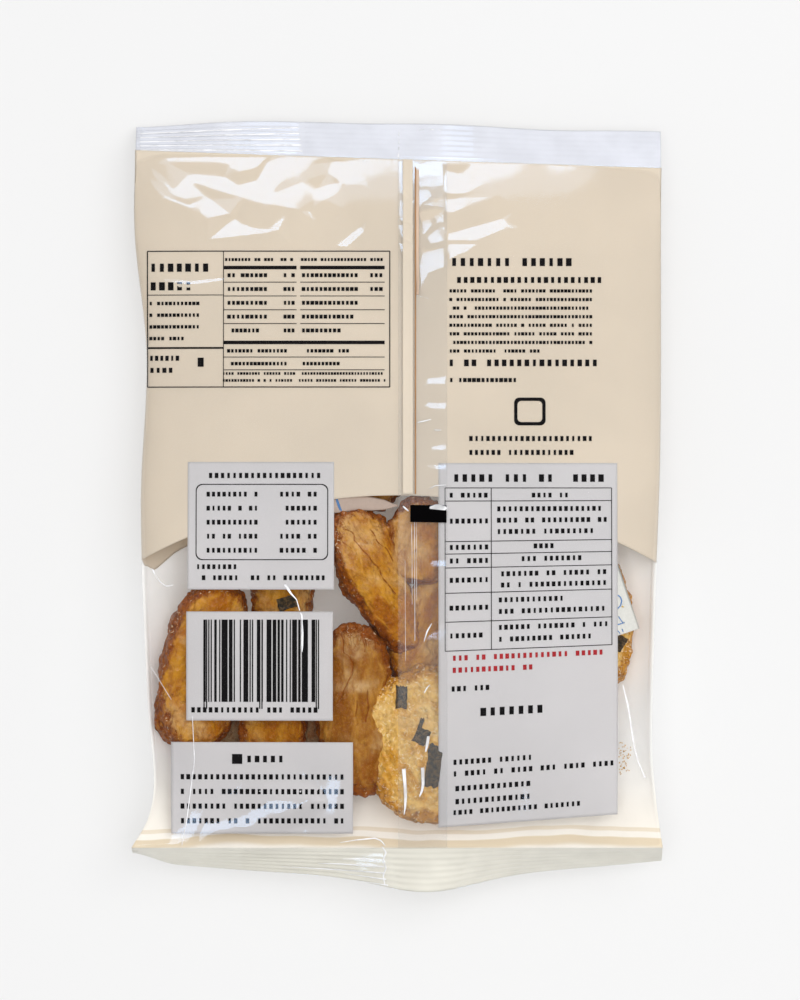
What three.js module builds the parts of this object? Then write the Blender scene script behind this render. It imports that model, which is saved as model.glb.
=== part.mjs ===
// A sealed pillow pack of puffed rice crackers, lying on its front with the back seam up.
// One closed solid in millimetres. +X runs across the pack, +Y to its top seal, +Z up from
// the table, and the origin lies on the table under the middle of the pack.

import * as THREE from 'three';

// The bag: its width at the seals, where the two seal lines cross the middle, and how thick
// two layers of film are drawn.
const SEAL_WIDTH = 145.4;
const SEAL_LINE = { bottom: -93.3, top: 95.3 };
const BODY_LENGTH = SEAL_LINE.top - SEAL_LINE.bottom;
const SHEET = 0.6;

// The two crimped end seals: how deep they are, and how high the film is pinched above the table.
const BOTTOM_SEAL = { depth: 12.5, height: 21 };
const TOP_SEAL = { depth: 11.8, height: 12 };
const RIBS = 7;
const RIB_RELIEF = 0.32;
const TOP_SEAL_SLANT = -0.034;

// How much of each seal's depth shows from above. The rest of it bends down. The bottom one lies
// level at the stiff fin and bends most at its corners, the top one most at its left corner.
const BOTTOM_REACH = { most: 8.5, lostAtCorners: 4.3, gainedAtFin: 3.9, finAt: 9, finSpread: 18 };
const TOP_REACH = { most: 9.9, lostAtLeft: 2.8, lostFrom: -15, lostOver: 55, wave: 0.3, waveLength: 56 };
const CORNER_AT = 70;

// The filled body. The flat back lies over a belly that holds the crackers.
const THICKNESS = { lower: 31, upper: 19 };
const PARTING = { lower: 20.5, upper: 12.5 };
const FILLED_UP_TO = 40;
const SLACK_FROM = 150;
const BACK_RISE = { bottom: 38, top: 46 };
const BELLY_RISE = { bottom: 46, top: 56 };
const BELLY_PRESS = 2.2;

// Half widths of the body against the way along it from the bottom seal.
const LEFT_EDGE = [
  [0, 72.7], [8, 68.2], [18, 66.6], [40, 68.4], [93, 70.3], [133, 68.8], [166, 72.1], [190, 71.8],
];
const RIGHT_EDGE = [[0, 72.7], [13, 71], [29, 69.9], [63, 70.6], [113, 72.3], [190, 72.5]];

// The fin seam folded over to the right, from end to end of the bag.
const FIN = { left: 0.3, width: 13.4, step: 0.55, edge: 0.25 };

// Where crackers press the back film up: place, how far it reaches, and height.
const BULGES = [
  { x: 5, y: -66, reach: 17, height: 1.5 },
  { x: -15, y: -54, reach: 18, height: 1.2 },
  { x: -52, y: -40, reach: 20, height: 1.0 },
  { x: -8, y: -22, reach: 18, height: 1.3 },
  { x: 42, y: -48, reach: 24, height: 0.9 },
  { x: 30, y: -8, reach: 20, height: 0.7 },
];

// Gathers that run from each seal into the film.
const GATHER = { pitch: 19, height: 0.75, reach: 11 };

// How finely the skin is split, and how far its even steps are drawn to the sides and ends.
const COLUMNS = 36;
const BODY_ROWS = 36;
const ROWS_PER_RIB = 2;
const DRAWN_TO_SIDES = 0.6;
const DRAWN_TO_ENDS = 0.5;
const CLEAR_OF_FIN_EDGE = 1.6;

const clamp = (value, low, high) => Math.min(Math.max(value, low), high);
const mix = (a, b, amount) => a + (b - a) * amount;
const bell = (value) => Math.exp(-value * value);

function ease(from, to, value) {
  const t = clamp((value - from) / (to - from), 0, 1);
  return t * t * (3 - 2 * t);
}

// A smooth curve through stations of [position, value].
function through(stations, at) {
  const last = stations.length - 1;
  let i = 0;
  while (i < last - 1 && stations[i + 1][0] < at) i += 1;
  const slope = (k) => {
    const [a, b] = [stations[Math.max(k - 1, 0)], stations[Math.min(k + 1, last)]];
    return (b[1] - a[1]) / (b[0] - a[0]);
  };
  const [[x0, y0], [x1, y1]] = [stations[i], stations[i + 1]];
  const span = x1 - x0;
  const t = clamp((at - x0) / span, 0, 1);
  const swing = (1 - t) ** 2 * t * span * slope(i) - (1 - t) * t ** 2 * span * slope(i + 1);
  return mix(y0, y1, t * t * (3 - 2 * t)) + swing;
}

// Across: u runs from -1 at the left edge to 1 at the right edge.
function sideways(u, along) {
  const half = through(u < 0 ? LEFT_EDGE : RIGHT_EDGE, along);
  return (SEAL_WIDTH / 2) * u - (SEAL_WIDTH / 2 - half) * u ** 3;
}

// How far a seal still reaches outwards in the top view, at a place across the pack.
function bottomReach(x) {
  const { most, lostAtCorners, gainedAtFin, finAt, finSpread } = BOTTOM_REACH;
  const lost = lostAtCorners * Math.abs(x / CORNER_AT) ** 1.5;
  return most - lost + gainedAtFin * bell((x - finAt) / finSpread);
}

function topReach(x) {
  const { most, lostAtLeft, lostFrom, lostOver, wave, waveLength } = TOP_REACH;
  const lost = lostAtLeft * clamp((lostFrom - x) / lostOver, 0, 1) ** 1.5;
  return most - lost + wave * Math.sin((2 * Math.PI * x) / waveLength);
}

function topSealLine(x) {
  return SEAL_LINE.top + TOP_SEAL_SLANT * x;
}

// The rise of the back over its parting line, and the drop of the belly under it, across the pack.
const backSection = (u) => 0.82 * (1 - Math.abs(u) ** 6) ** 0.55 + 0.18 * (1 - u * u);
const bellySection = (u) => (1 - Math.abs(u) ** 2.4) ** 0.75;

// 0 at a seal, 1 once the film has risen to its full height.
function riseFromSeals(along, reach) {
  const bottom = 1 - (1 - clamp(along / reach.bottom, 0, 1)) ** 2;
  const top = 1 - (1 - clamp((BODY_LENGTH - along) / reach.top, 0, 1)) ** 2;
  return bottom * top;
}

function parting(along) {
  const middle = mix(PARTING.lower, PARTING.upper, ease(FILLED_UP_TO, SLACK_FROM, along));
  const nearBottom = ease(0, BACK_RISE.bottom, along);
  const nearTop = ease(0, BACK_RISE.top, BODY_LENGTH - along);
  return mix(BOTTOM_SEAL.height, mix(TOP_SEAL.height, middle, nearTop), nearBottom);
}

function gathers(x, along) {
  const ripple = (distance, shift) => {
    const size = (distance / GATHER.reach) * Math.exp(1 - distance / GATHER.reach);
    return GATHER.height * size * Math.sin((2 * Math.PI * (x + shift)) / GATHER.pitch);
  };
  return ripple(along, 3) + ripple(BODY_LENGTH - along, -4);
}

function bulges(x, y) {
  const rise = ({ x: cx, y: cy, reach, height }) => height * bell(Math.hypot(x - cx, y - cy) / reach);
  return BULGES.reduce((sum, bulge) => sum + rise(bulge), 0);
}

function finStep(x) {
  const inside = Math.min(x - FIN.left, FIN.left + FIN.width - x);
  return FIN.step * clamp(inside / FIN.edge + 0.5, 0, 1);
}

// A row of the filled body. Each point is a pair, back above and belly below.
function bodyRow(along, across) {
  return across.map((u) => {
    const x = sideways(u, along);
    const y = mix(SEAL_LINE.bottom, topSealLine(x), along / BODY_LENGTH);
    const thickness = mix(THICKNESS.lower, THICKNESS.upper, ease(FILLED_UP_TO, SLACK_FROM, along));
    const middle = parting(along);
    const back = thickness - middle;
    const relief = (bulges(x, y) + gathers(x, along)) * (1 - u ** 8);
    const top = middle + SHEET / 2 + back * riseFromSeals(along, BACK_RISE) * backSection(u) + relief;
    const drop = (middle + BELLY_PRESS) * riseFromSeals(along, BELLY_RISE) * bellySection(u);
    const bottom = middle - SHEET / 2 - drop;
    return {
      back: new THREE.Vector3(x, y, top + finStep(x)),
      belly: new THREE.Vector3(x, y, Math.max(0, bottom)),
    };
  });
}

// A row of an end seal, at a share of the way from the seal line to the cut edge.
// outwards is -1 for the bottom seal and 1 for the top one.
function sealRow(seal, share, outwards, across) {
  const along = outwards < 0 ? 0 : BODY_LENGTH;
  const rib = RIB_RELIEF * Math.sin(share * RIBS * 2 * Math.PI - Math.PI / 2) * Math.min(1, share * RIBS);
  return across.map((u) => {
    const x = sideways(u, along);
    const reach = Math.min(outwards < 0 ? bottomReach(x) : topReach(x), seal.depth);
    const level = reach / seal.depth;
    const bend = Math.sqrt(1 - level * level);
    const line = outwards < 0 ? SEAL_LINE.bottom : topSealLine(x);
    const y = line + outwards * reach * share;
    const z = seal.height - seal.depth * bend * share;
    const lean = Math.min(1, share * RIBS);
    const normal = new THREE.Vector3(0, outwards * bend * lean, mix(1, level, lean));
    const centre = new THREE.Vector3(x, y, z).addScaledVector(normal, rib);
    const back = centre.clone().addScaledVector(normal, SHEET / 2 + finStep(x));
    return { back, belly: centre.addScaledVector(normal, -SHEET / 2) };
  });
}

// The places across, closer together at the rounded sides, with two at each edge of the fin.
function acrossPlaces() {
  const half = SEAL_WIDTH / 2;
  const fin = [FIN.left, FIN.left + FIN.width];
  const finEdges = fin.flatMap((x) => [x - FIN.edge / 2, x + FIN.edge / 2]);
  const places = [];
  for (let i = 0; i <= COLUMNS; i += 1) {
    const even = (2 * i) / COLUMNS - 1;
    const u = mix(even, Math.sin((even * Math.PI) / 2), DRAWN_TO_SIDES);
    if (fin.every((x) => Math.abs(u * half - x) > CLEAR_OF_FIN_EDGE)) places.push(u);
  }
  return [...places, ...finEdges.map((x) => x / half)].sort((a, b) => a - b);
}

function packRows() {
  const across = acrossPlaces();
  const sealRows = RIBS * ROWS_PER_RIB;
  const rows = [];
  for (let j = sealRows; j > 0; j -= 1) rows.push(sealRow(BOTTOM_SEAL, j / sealRows, -1, across));
  for (let j = 0; j <= BODY_ROWS; j += 1) {
    const even = j / BODY_ROWS;
    const share = mix(even, 0.5 - 0.5 * Math.cos(even * Math.PI), DRAWN_TO_ENDS);
    rows.push(bodyRow(share * BODY_LENGTH, across));
  }
  for (let j = 1; j <= sealRows; j += 1) rows.push(sealRow(TOP_SEAL, j / sealRows, 1, across));
  return rows;
}

// Joins the rows into one closed skin: back, belly, the two sides and the two cut ends.
function skin(rows) {
  const wide = rows[0].length;
  const points = rows.flatMap((row) => row.flatMap(({ back, belly }) => [back, belly]));
  const back = (i, j) => 2 * (j * wide + i);
  const belly = (i, j) => back(i, j) + 1;
  const faces = [];
  const quad = (a, b, c, d) => faces.push(a, b, c, a, c, d);
  for (let j = 0; j + 1 < rows.length; j += 1) {
    for (let i = 0; i + 1 < wide; i += 1) {
      quad(back(i, j), back(i + 1, j), back(i + 1, j + 1), back(i, j + 1));
      quad(belly(i, j), belly(i, j + 1), belly(i + 1, j + 1), belly(i + 1, j));
    }
    quad(back(0, j), back(0, j + 1), belly(0, j + 1), belly(0, j));
    quad(back(wide - 1, j + 1), back(wide - 1, j), belly(wide - 1, j), belly(wide - 1, j + 1));
  }
  for (let i = 0; i + 1 < wide; i += 1) {
    const end = rows.length - 1;
    quad(back(i + 1, 0), back(i, 0), belly(i, 0), belly(i + 1, 0));
    quad(back(i, end), back(i + 1, end), belly(i + 1, end), belly(i, end));
  }
  const geometry = new THREE.BufferGeometry().setFromPoints(points);
  geometry.setIndex(faces);
  return geometry;
}

// Sets the skin on the table with its middle over the origin.
function centred(geometry) {
  geometry.computeBoundingBox();
  const { min, max } = geometry.boundingBox;
  return geometry.translate(-(min.x + max.x) / 2, -(min.y + max.y) / 2, -min.z);
}

const film = new THREE.MeshStandardMaterial({ color: 0xd8cbb4, roughness: 0.25, metalness: 0 });
const bag = new THREE.Mesh(centred(skin(packRows())), film);
bag.name = 'bag';

const pack = new THREE.Group();
pack.add(bag);

export default pack;
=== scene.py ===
"""Looks of a sealed pillow bag of puffed rice crackers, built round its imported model.

The bag lies on its front: +X runs across it, +Y to its top seal and +Z up out of its back.
Sizes in this file are millimetres unless a name says otherwise, and meshes are in metres.
"""

import math

import bpy
import numpy as np
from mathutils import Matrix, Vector
from mathutils.bvhtree import BVHTree
from mathutils.geometry import delaunay_2d_cdt


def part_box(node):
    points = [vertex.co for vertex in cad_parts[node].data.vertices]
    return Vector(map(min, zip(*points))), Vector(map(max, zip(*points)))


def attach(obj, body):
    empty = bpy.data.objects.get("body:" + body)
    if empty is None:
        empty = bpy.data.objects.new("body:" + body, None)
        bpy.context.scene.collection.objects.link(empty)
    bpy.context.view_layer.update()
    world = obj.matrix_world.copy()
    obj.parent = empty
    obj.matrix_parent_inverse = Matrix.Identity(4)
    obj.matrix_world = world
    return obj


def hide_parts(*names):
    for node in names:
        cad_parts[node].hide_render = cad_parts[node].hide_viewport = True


bl_info = {
    "name": "Rice cracker bag",
    "version": (1, 0, 0),
    "blender": (4, 5, 0),
    "location": "View3D > Sidebar > Bag",
    "description": "Makes the film, print and contents of a clear-window bag of rice crackers",
    "category": "Object",
}

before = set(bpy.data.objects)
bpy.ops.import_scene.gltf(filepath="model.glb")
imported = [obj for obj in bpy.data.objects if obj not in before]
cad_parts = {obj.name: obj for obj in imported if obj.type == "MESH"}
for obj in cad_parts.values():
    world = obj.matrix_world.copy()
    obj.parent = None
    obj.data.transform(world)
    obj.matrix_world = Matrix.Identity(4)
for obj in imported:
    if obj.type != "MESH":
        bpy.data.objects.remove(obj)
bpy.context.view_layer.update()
BOX_LOW, BOX_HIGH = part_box("bag")
BODY = "root"
MM = 0.001


# ---------------------------------------------------------------- the bag's form

# The bag: its width at the seals, and where the two seal lines cross its middle.
SEAL_WIDTH = (BOX_HIGH.x - BOX_LOW.x) / MM
SEAL_LINE_BOTTOM = -93.3
SEAL_LINE_TOP = 95.3
TOP_SEAL_SLANT = -0.034
BODY_LENGTH = SEAL_LINE_TOP - SEAL_LINE_BOTTOM

# The crimped end seals: depth, and height of the pinched film above the table.
BOTTOM_SEAL = {"depth": 12.5, "height": 21.0}
TOP_SEAL = {"depth": 11.8, "height": 12.0}
RIBS = 7
RIB_GENTLE = 0.6
RIB_TILT = math.radians(21)
WEB_GAP = 0.3
CORNER_AT = 70.0

# The filled body: a flat back over a belly that holds the crackers.
THICK_LOWER, THICK_UPPER = 31.0, 19.0
PARTING_LOWER, PARTING_UPPER = 20.5, 12.5
FILLED_UP_TO, SLACK_FROM = 40.0, 150.0
BACK_RISE_BOTTOM, BACK_RISE_TOP = 38.0, 46.0
BELLY_RISE_BOTTOM, BELLY_RISE_TOP = 46.0, 56.0
BELLY_PRESS = 2.2
LINING_FALL = 0.42

# Half widths of the body against the way along it from the bottom seal.
LEFT_EDGE = ((0, 72.7), (8, 68.2), (18, 66.6), (40, 68.4), (93, 70.3), (133, 68.8), (166, 72.1), (190, 71.8))
RIGHT_EDGE = ((0, 72.7), (13, 71), (29, 69.9), (63, 70.6), (113, 72.3), (190, 72.5))

# The seam folded over to the right.
FIN_LEFT, FIN_WIDTH = 0.3, 13.4

# Where crackers press the back film up: x, y, reach and height.
BULGES = (
    (-3, -66, 19, 1.4), (-10, -80, 14, 0.8), (-15, -54, 18, 1.2), (-52, -40, 20, 1.0),
    (-8, -22, 18, 1.3), (42, -48, 24, 0.9), (30, -8, 20, 0.7),
)
# The film was folded while its first two bulges were still this one.
BULGES_AT_FOLDING = ((5, -66, 17, 1.5), *BULGES[2:])

GATHER_PITCH, GATHER_BOTTOM, GATHER_TOP, GATHER_REACH = 19.0, 0.3, 0.08, 11.0

# The room's white light, and how bright it looks in the gloss. The plane that fills the view.
ROOM_LIGHT, ROOM_GLOSS = 0.65, 0.05
VIEW_PLANE = 18.0
# Softboxes: azimuth and angle from overhead, distance, width, height, brightness, and whether they
# are seen in the gloss alone.
SOFTBOXES = (
    ("top softbox", 97, 42, 1.6, 1.3, 0.4, 6.5, True),
    ("top glow", 97, 42, 1.62, 1.7, 0.7, 2.2, True),
    ("lower softbox", 253, 45, 1.6, 0.3, 0.42, 6.0, True),
    ("overhead softbox", 0, 0, 3.4, 2.2, 2.2, 3.15, False),
    ("right softbox", 35, 32, 0.9, 0.5, 0.5, 2.7, False),
)
GLOSS_TINT = (0.5, 0.7, 1.0)


def ease(start, end, value):
    """0 before start, 1 after end, and a smooth step between."""
    t = np.clip((np.asarray(value, float) - start) / (end - start), 0, 1)
    return t * t * (3 - 2 * t)


def mix(a, b, amount):
    return a + (b - a) * amount


def bell(value):
    return np.exp(-np.square(value))


def through(stations, at):
    """A smooth curve through stations of (position, value)."""
    xs, ys = np.array(stations, float).T
    slopes = np.gradient(ys, xs, edge_order=1)
    inner = (ys[2:] - ys[:-2]) / (xs[2:] - xs[:-2])
    slopes[1:-1] = inner
    i = np.clip(np.searchsorted(xs, at) - 1, 0, len(xs) - 2)
    span = xs[i + 1] - xs[i]
    t = np.clip((at - xs[i]) / span, 0, 1)
    swing = (1 - t) ** 2 * t * span * slopes[i] - (1 - t) * t**2 * span * slopes[i + 1]
    return mix(ys[i], ys[i + 1], t * t * (3 - 2 * t)) + swing


def half_width(u, along):
    return np.where(u < 0, through(LEFT_EDGE, along), through(RIGHT_EDGE, along))


def sideways(u, along):
    """x of a place across: u runs from -1 at the left edge to 1 at the right edge."""
    half = SEAL_WIDTH / 2
    return half * u - (half - half_width(u, along)) * u**3


def top_seal_line(x):
    return SEAL_LINE_TOP + TOP_SEAL_SLANT * x


def bottom_reach(x):
    """How far the bottom seal still reaches outwards in the top view."""
    reach = 8.5 - 4.3 * np.abs(x / CORNER_AT) ** 1.5 + 3.9 * bell((x - 9) / 18)
    return np.minimum(reach - 2.2 * ease(-60, -73, x), BOTTOM_SEAL["depth"])


def top_reach(x):
    lost = 2.8 * np.clip((-15 - x) / 55, 0, 1) ** 1.5
    return 9.9 - lost + 0.3 * np.sin(2 * math.pi * x / 56)


def form_shift():
    """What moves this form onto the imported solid, whose box stands over the origin."""
    x = np.linspace(-SEAL_WIDTH / 2, SEAL_WIDTH / 2, 400)
    low = (SEAL_LINE_BOTTOM - bottom_reach(x)).min()
    high = (top_seal_line(x) + top_reach(x)).max()
    return (BOX_LOW.y + BOX_HIGH.y) / 2 / MM - (low + high) / 2


SHIFT_Y = form_shift()


def back_section(u):
    return 0.82 * (1 - np.abs(u) ** 6) ** 0.55 + 0.18 * (1 - u * u)


def belly_section(u):
    return (1 - np.abs(u) ** 2.4) ** 0.75


def rise(along, bottom, top):
    """0 at a seal, 1 once the film has risen to its full height."""
    low = 1 - (1 - np.clip(along / bottom, 0, 1)) ** 2
    high = 1 - (1 - np.clip((BODY_LENGTH - along) / top, 0, 1)) ** 2
    return low * high


def parting(along):
    middle = mix(PARTING_LOWER, PARTING_UPPER, ease(FILLED_UP_TO, SLACK_FROM, along))
    near_bottom = ease(0, BACK_RISE_BOTTOM, along)
    near_top = ease(0, BACK_RISE_TOP, BODY_LENGTH - along)
    return mix(BOTTOM_SEAL["height"], mix(TOP_SEAL["height"], middle, near_top), near_bottom)


def thickness(along):
    return mix(THICK_LOWER, THICK_UPPER, ease(FILLED_UP_TO, SLACK_FROM, along))


def gathers(x, along):
    def ripple(distance, shift):
        size = (distance / GATHER_REACH) * np.exp(1 - distance / GATHER_REACH)
        return size * np.sin(2 * math.pi * (x + shift) / GATHER_PITCH)

    return GATHER_BOTTOM * ripple(along, 3) + GATHER_TOP * ripple(BODY_LENGTH - along, -4)


def bulges(x, y, places=BULGES):
    return sum(h * bell(np.hypot(x - cx, y - cy) / reach) for cx, cy, reach, h in places)


def facets(table):
    """Triangles between a table's points, that keep its edges."""
    flat = [Vector(point[:2]) for point in table[0]]
    result = delaunay_2d_cdt(flat, table[1], [], 0, 1e-4)
    return [[result[3][corner][0] for corner in face] for face in result[2]]


def folded(x, y, table):
    """Relief of film folded into flat facets, from points (x, y, height) and edges between some of them."""
    points = np.array(table[0])
    faces = facets(table)
    total = np.zeros(np.broadcast(x, y).shape)
    left, low, _ = points.min(0)
    right, high, _ = points.max(0)
    near = (x > left) & (x < right) & (y > low) & (y < high)
    px, py = np.broadcast_to(x, total.shape)[near], np.broadcast_to(y, total.shape)[near]
    found = np.zeros(px.shape)
    for a, b, c in points[faces]:
        base = (b[0] - a[0]) * (c[1] - a[1]) - (c[0] - a[0]) * (b[1] - a[1])
        if abs(base) < 1e-6:
            continue
        v = ((px - a[0]) * (c[1] - a[1]) - (c[0] - a[0]) * (py - a[1])) / base
        w = ((b[0] - a[0]) * (py - a[1]) - (px - a[0]) * (b[1] - a[1])) / base
        inside = (v >= 0) & (w >= 0) & (v + w <= 1)
        found[inside] = (a[2] + v * (b[2] - a[2]) + w * (c[2] - a[2]))[inside]
    total[near] = found
    return total


def creases(x, y):
    return sum((folded(x, y, table) for table in FOLD_SETS), np.zeros(np.broadcast(x, y).shape))


def back_point(u, along, folds=True):
    """The back film, without the seam, as x, y, z, with its folds or as it was when they were laid."""
    x = sideways(u, along)
    y = mix(SEAL_LINE_BOTTOM, top_seal_line(x), along / BODY_LENGTH)
    middle = parting(along)
    swell = (thickness(along) - middle) * rise(along, BACK_RISE_BOTTOM, BACK_RISE_TOP) * back_section(u)
    if folds:
        relief = bulges(x, y) + gathers(x, along) + creases(x, y)
    else:
        relief = bulges(x, y, BULGES_AT_FOLDING) + gathers(x, along)
    z = middle + swell + relief * (1 - u**8)
    return np.stack((x, y + SHIFT_Y, z), -1)


def belly_point(u, along):
    """The front film, pressed flat where it lies on the table."""
    x = sideways(u, along)
    y = mix(SEAL_LINE_BOTTOM, top_seal_line(x), along / BODY_LENGTH)
    middle = parting(along)
    drop = (middle + BELLY_PRESS) * rise(along, BELLY_RISE_BOTTOM, BELLY_RISE_TOP) * belly_section(u)
    return np.stack((x, y + SHIFT_Y, np.maximum(0, middle - drop)), -1)


def rib_relief(x, share, seal, reach):
    """Crimp ribs, with a gentle outer slope and a steep one, pressed deeper in some places."""
    phase = (share * RIBS) % 1.0
    wave = np.where(phase < RIB_GENTLE, phase / RIB_GENTLE, (1 - phase) / (1 - RIB_GENTLE)) - 0.5
    if seal is BOTTOM_SEAL:
        return wave * (0.16 + 0.26 * bell((x + 24) / 22))
    fall = np.arccos(np.clip(reach / seal["depth"], 0, 1))
    deep = RIB_GENTLE * reach / RIBS * np.tan(np.clip(fall - RIB_TILT, 0.05, 1))
    return wave * mix(0.05, deep, np.clip(ease(-24, -28, x) + 0.7 * bell((x - 17) / 6), 0, 1))


def seal_point(u, share, seal, side):
    """An end seal, from its seal line to its cut edge. side is 1 on the back layer and -1 on the front."""
    outwards = -1 if seal is BOTTOM_SEAL else 1
    along = 0.0 if outwards < 0 else BODY_LENGTH
    x = sideways(u, np.full_like(u, along))
    reach = bottom_reach(x) if outwards < 0 else top_reach(x)
    line = SEAL_LINE_BOTTOM if outwards < 0 else top_seal_line(x)
    level = reach / seal["depth"]
    bend = np.sqrt(np.clip(1 - level**2, 0, 1))
    lean = np.clip(share * RIBS, 0, 1)
    rib = rib_relief(x, share, seal, reach) * lean
    lift = rib + side * WEB_GAP / 2 * (1 - u**8) * lean
    y = line + outwards * (reach * share + bend * lean * lift)
    z = seal["height"] - seal["depth"] * bend * share + mix(1, level, lean) * lift
    return np.stack((x, y + SHIFT_Y, z), -1)


def along_at(x, y):
    """The way along the bag from the bottom seal line, at a place in the top view."""
    return (y - SHIFT_Y - SEAL_LINE_BOTTOM) / (top_seal_line(x) - SEAL_LINE_BOTTOM) * BODY_LENGTH


def across_at(x, along):
    half = SEAL_WIDTH / 2
    u = np.clip(x / half, -1, 1)
    for _ in range(6):
        narrow = half - half_width(u, along)
        u = u - (half * u - narrow * u**3 - x) / (half - 3 * narrow * u**2)
    return np.clip(u, -1, 1)


def back_height(x, y, folds=True):
    along = along_at(x, y)
    return back_point(across_at(x, along), along, folds)[..., 2]


def belly_height(x, y):
    along = along_at(x, y)
    return belly_point(across_at(x, along), along)[..., 2]


def lining_rise(along, u):
    """The front film's inner side climbs to the bottom seal in a gentle slope."""
    return (BOTTOM_SEAL["height"] - LINING_FALL * along) * (1 - u**8)


def lining_height(x, y):
    along = along_at(x, y)
    return np.maximum(belly_height(x, y), lining_rise(along, across_at(x, along)))


# ---------------------------------------------------------------- folded film

# Folds are nets of flat facets. Each net has bright facets, which mirror a softbox to someone looking
# straight down, and points round them where the film keeps its own height. Places are read off
# enlarged sheets: where a sheet starts on the whole one, and its steps for one step of the whole one.
WHOLE_SHEET = (0, 0, 1)
LEFT_SHEET = (130, 110, 5.6)
RIGHT_SHEET = (390, 110, 5.6)
LOWER_SHEET = (160, 715, 6.533)
# Millimetres to a step of the whole sheet, and the place on it of the bag's middle.
SHEET_STEP = 0.2736
SHEET_MIDDLE = (397, 506.5)

UPPER_LEFT_BRIGHT = (
    ((325, 350), (520, 372), (600, 418), (640, 490), (440, 432)),
    ((600, 418), (700, 395), (755, 400), (800, 462), (780, 528), (640, 490)),
    ((800, 462), (950, 562), (780, 528)),
    ((700, 395), (760, 285), (785, 285), (755, 400)),
    ((30, 250), (75, 330), (195, 470), (330, 530), (330, 548), (185, 498), (85, 380)),
    ((330, 530), (430, 480), (450, 495), (330, 548)),
    ((60, 262), (110, 300), (240, 440), (232, 462), (90, 320)),
    ((240, 440), (330, 362), (345, 400), (330, 500), (300, 500)),
    ((440, 500), (565, 588), (440, 612), (395, 575)),
    ((425, 732), (585, 602), (610, 628), (700, 662), (760, 672), (790, 690)),
    ((790, 655), (880, 582), (830, 680)),
    ((200, 255), (560, 258), (560, 300), (480, 285), (330, 285), (215, 290)),
    ((560, 258), (780, 262), (740, 290), (690, 325), (620, 340), (575, 320)),
    ((780, 262), (930, 268), (930, 310), (880, 285)),
    ((1150, 275), (1290, 370), (1250, 410), (1170, 400), (1110, 350)),
    ((1050, 440), (1160, 410), (1160, 450), (1090, 500), (1030, 500)),
    ((180, 935), (330, 952), (520, 932), (520, 958), (330, 985), (200, 970)),
    ((1140, 765), (1290, 650), (1305, 690), (1215, 772)),
)
UPPER_LEFT_FLAT = (
    (30, 480), (30, 640), (60, 800), (200, 830), (120, 940), (200, 1040), (400, 1050), (560, 1010),
    (560, 860), (700, 800), (900, 760), (1060, 640), (1100, 800), (1240, 820), (1380, 700), (1330, 600),
    (1200, 560), (1400, 460), (1420, 300), (1020, 290), (980, 400), (1000, 560), (20, 246), (200, 229),
    (560, 241), (780, 248), (930, 253), (1150, 260), (1300, 265),
)
UPPER_RIGHT_BRIGHT = (
    ((312, 330), (400, 350), (455, 400), (472, 440), (440, 465), (320, 475)),
    ((320, 490), (430, 480), (410, 555), (345, 578), (312, 560)),
    ((325, 688), (600, 612), (650, 622), (630, 670), (470, 735), (325, 735)),
    ((325, 745), (470, 745), (500, 745), (420, 800), (330, 845)),
)
UPPER_RIGHT_FLAT = (
    (300, 300), (450, 300), (560, 350), (600, 480), (700, 560), (740, 660), (640, 760), (520, 850),
    (400, 920), (300, 930), (300, 640), (300, 450),
)
LOWER_LEFT_BRIGHT = (
    ((140, 855), (285, 722), (480, 690), (560, 740), (390, 768), (250, 795)),
    ((480, 690), (620, 600), (790, 535), (985, 540), (900, 615), (700, 680), (560, 740)),
)
LOWER_LEFT_FLAT = (
    (80, 700), (60, 860), (250, 860), (500, 830), (800, 760), (1000, 690), (1100, 560), (1000, 440),
    (800, 420), (600, 470), (420, 560), (220, 620),
)
# The seam's upper part, its free edge, and the bend beside its fold.
SEAM_BRIGHT = (
    ((168, 300), (208, 312), (206, 355), (170, 372)),
    ((152, 405), (300, 372), (303, 415), (215, 425), (168, 432)),
    ((170, 440), (215, 440), (240, 480), (178, 530)),
    ((250, 500), (300, 490), (303, 545), (260, 540)),
    ((175, 590), (225, 600), (240, 640), (188, 700)),
    ((245, 568), (303, 562), (306, 625), (262, 605)),
    ((188, 790), (306, 765), (308, 880), (215, 915), (172, 1000), (165, 870)),
    ((205, 712), (260, 668), (306, 655), (308, 735), (230, 752)),
)
SEAM_FLAT = (
    (140, 280), (230, 280), (314, 280), (140, 560), (138, 760), (140, 1040), (230, 1060), (314, 1060),
    (314, 950), (230, 450), (240, 620),
)
SEAM_EDGE_BRIGHT = (
    ((425.5, 380), (430, 376.3), (446.6, 374), (446.6, 385), (430, 385)),
    ((425.5, 403), (429, 400.6), (446.6, 400.6), (446.6, 411), (433.5, 411), (427, 408)),
    ((429, 447.3), (435, 444.3), (446.6, 442), (446.6, 451.4), (432.6, 450.4)),
    ((429.6, 463.7), (446.6, 462.5), (446.6, 471.4), (438.7, 471.4), (431.4, 468.5)),
    ((427, 505.5), (446.6, 503.7), (446.6, 512.2), (436, 512.2), (430, 509.8)),
    ((429, 563), (431.6, 559.3), (446.6, 558), (446.6, 568), (433.8, 567.4)),
    ((430.5, 587), (446.6, 586), (446.6, 591), (432.7, 590.4)),
    (
        (424.9, 640.7), (427, 634), (433.8, 628.4), (446.6, 625.6), (446.6, 647.2), (438.3, 641.8),
        (433.8, 640),
    ),
)
SEAM_EDGE_LEVELS = (362, 370, 393, 398, 417, 436, 456, 478, 497, 519, 550, 575, 582, 598, 614, 656)
SEAM_EDGE_FLAT = tuple((x, y) for y in SEAM_EDGE_LEVELS for x in (420, 432, 446.9)) + (
    (420, 380), (421, 405), (423, 447), (424, 466), (421, 508), (423, 563), (424, 588), (419, 640),
)
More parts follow.
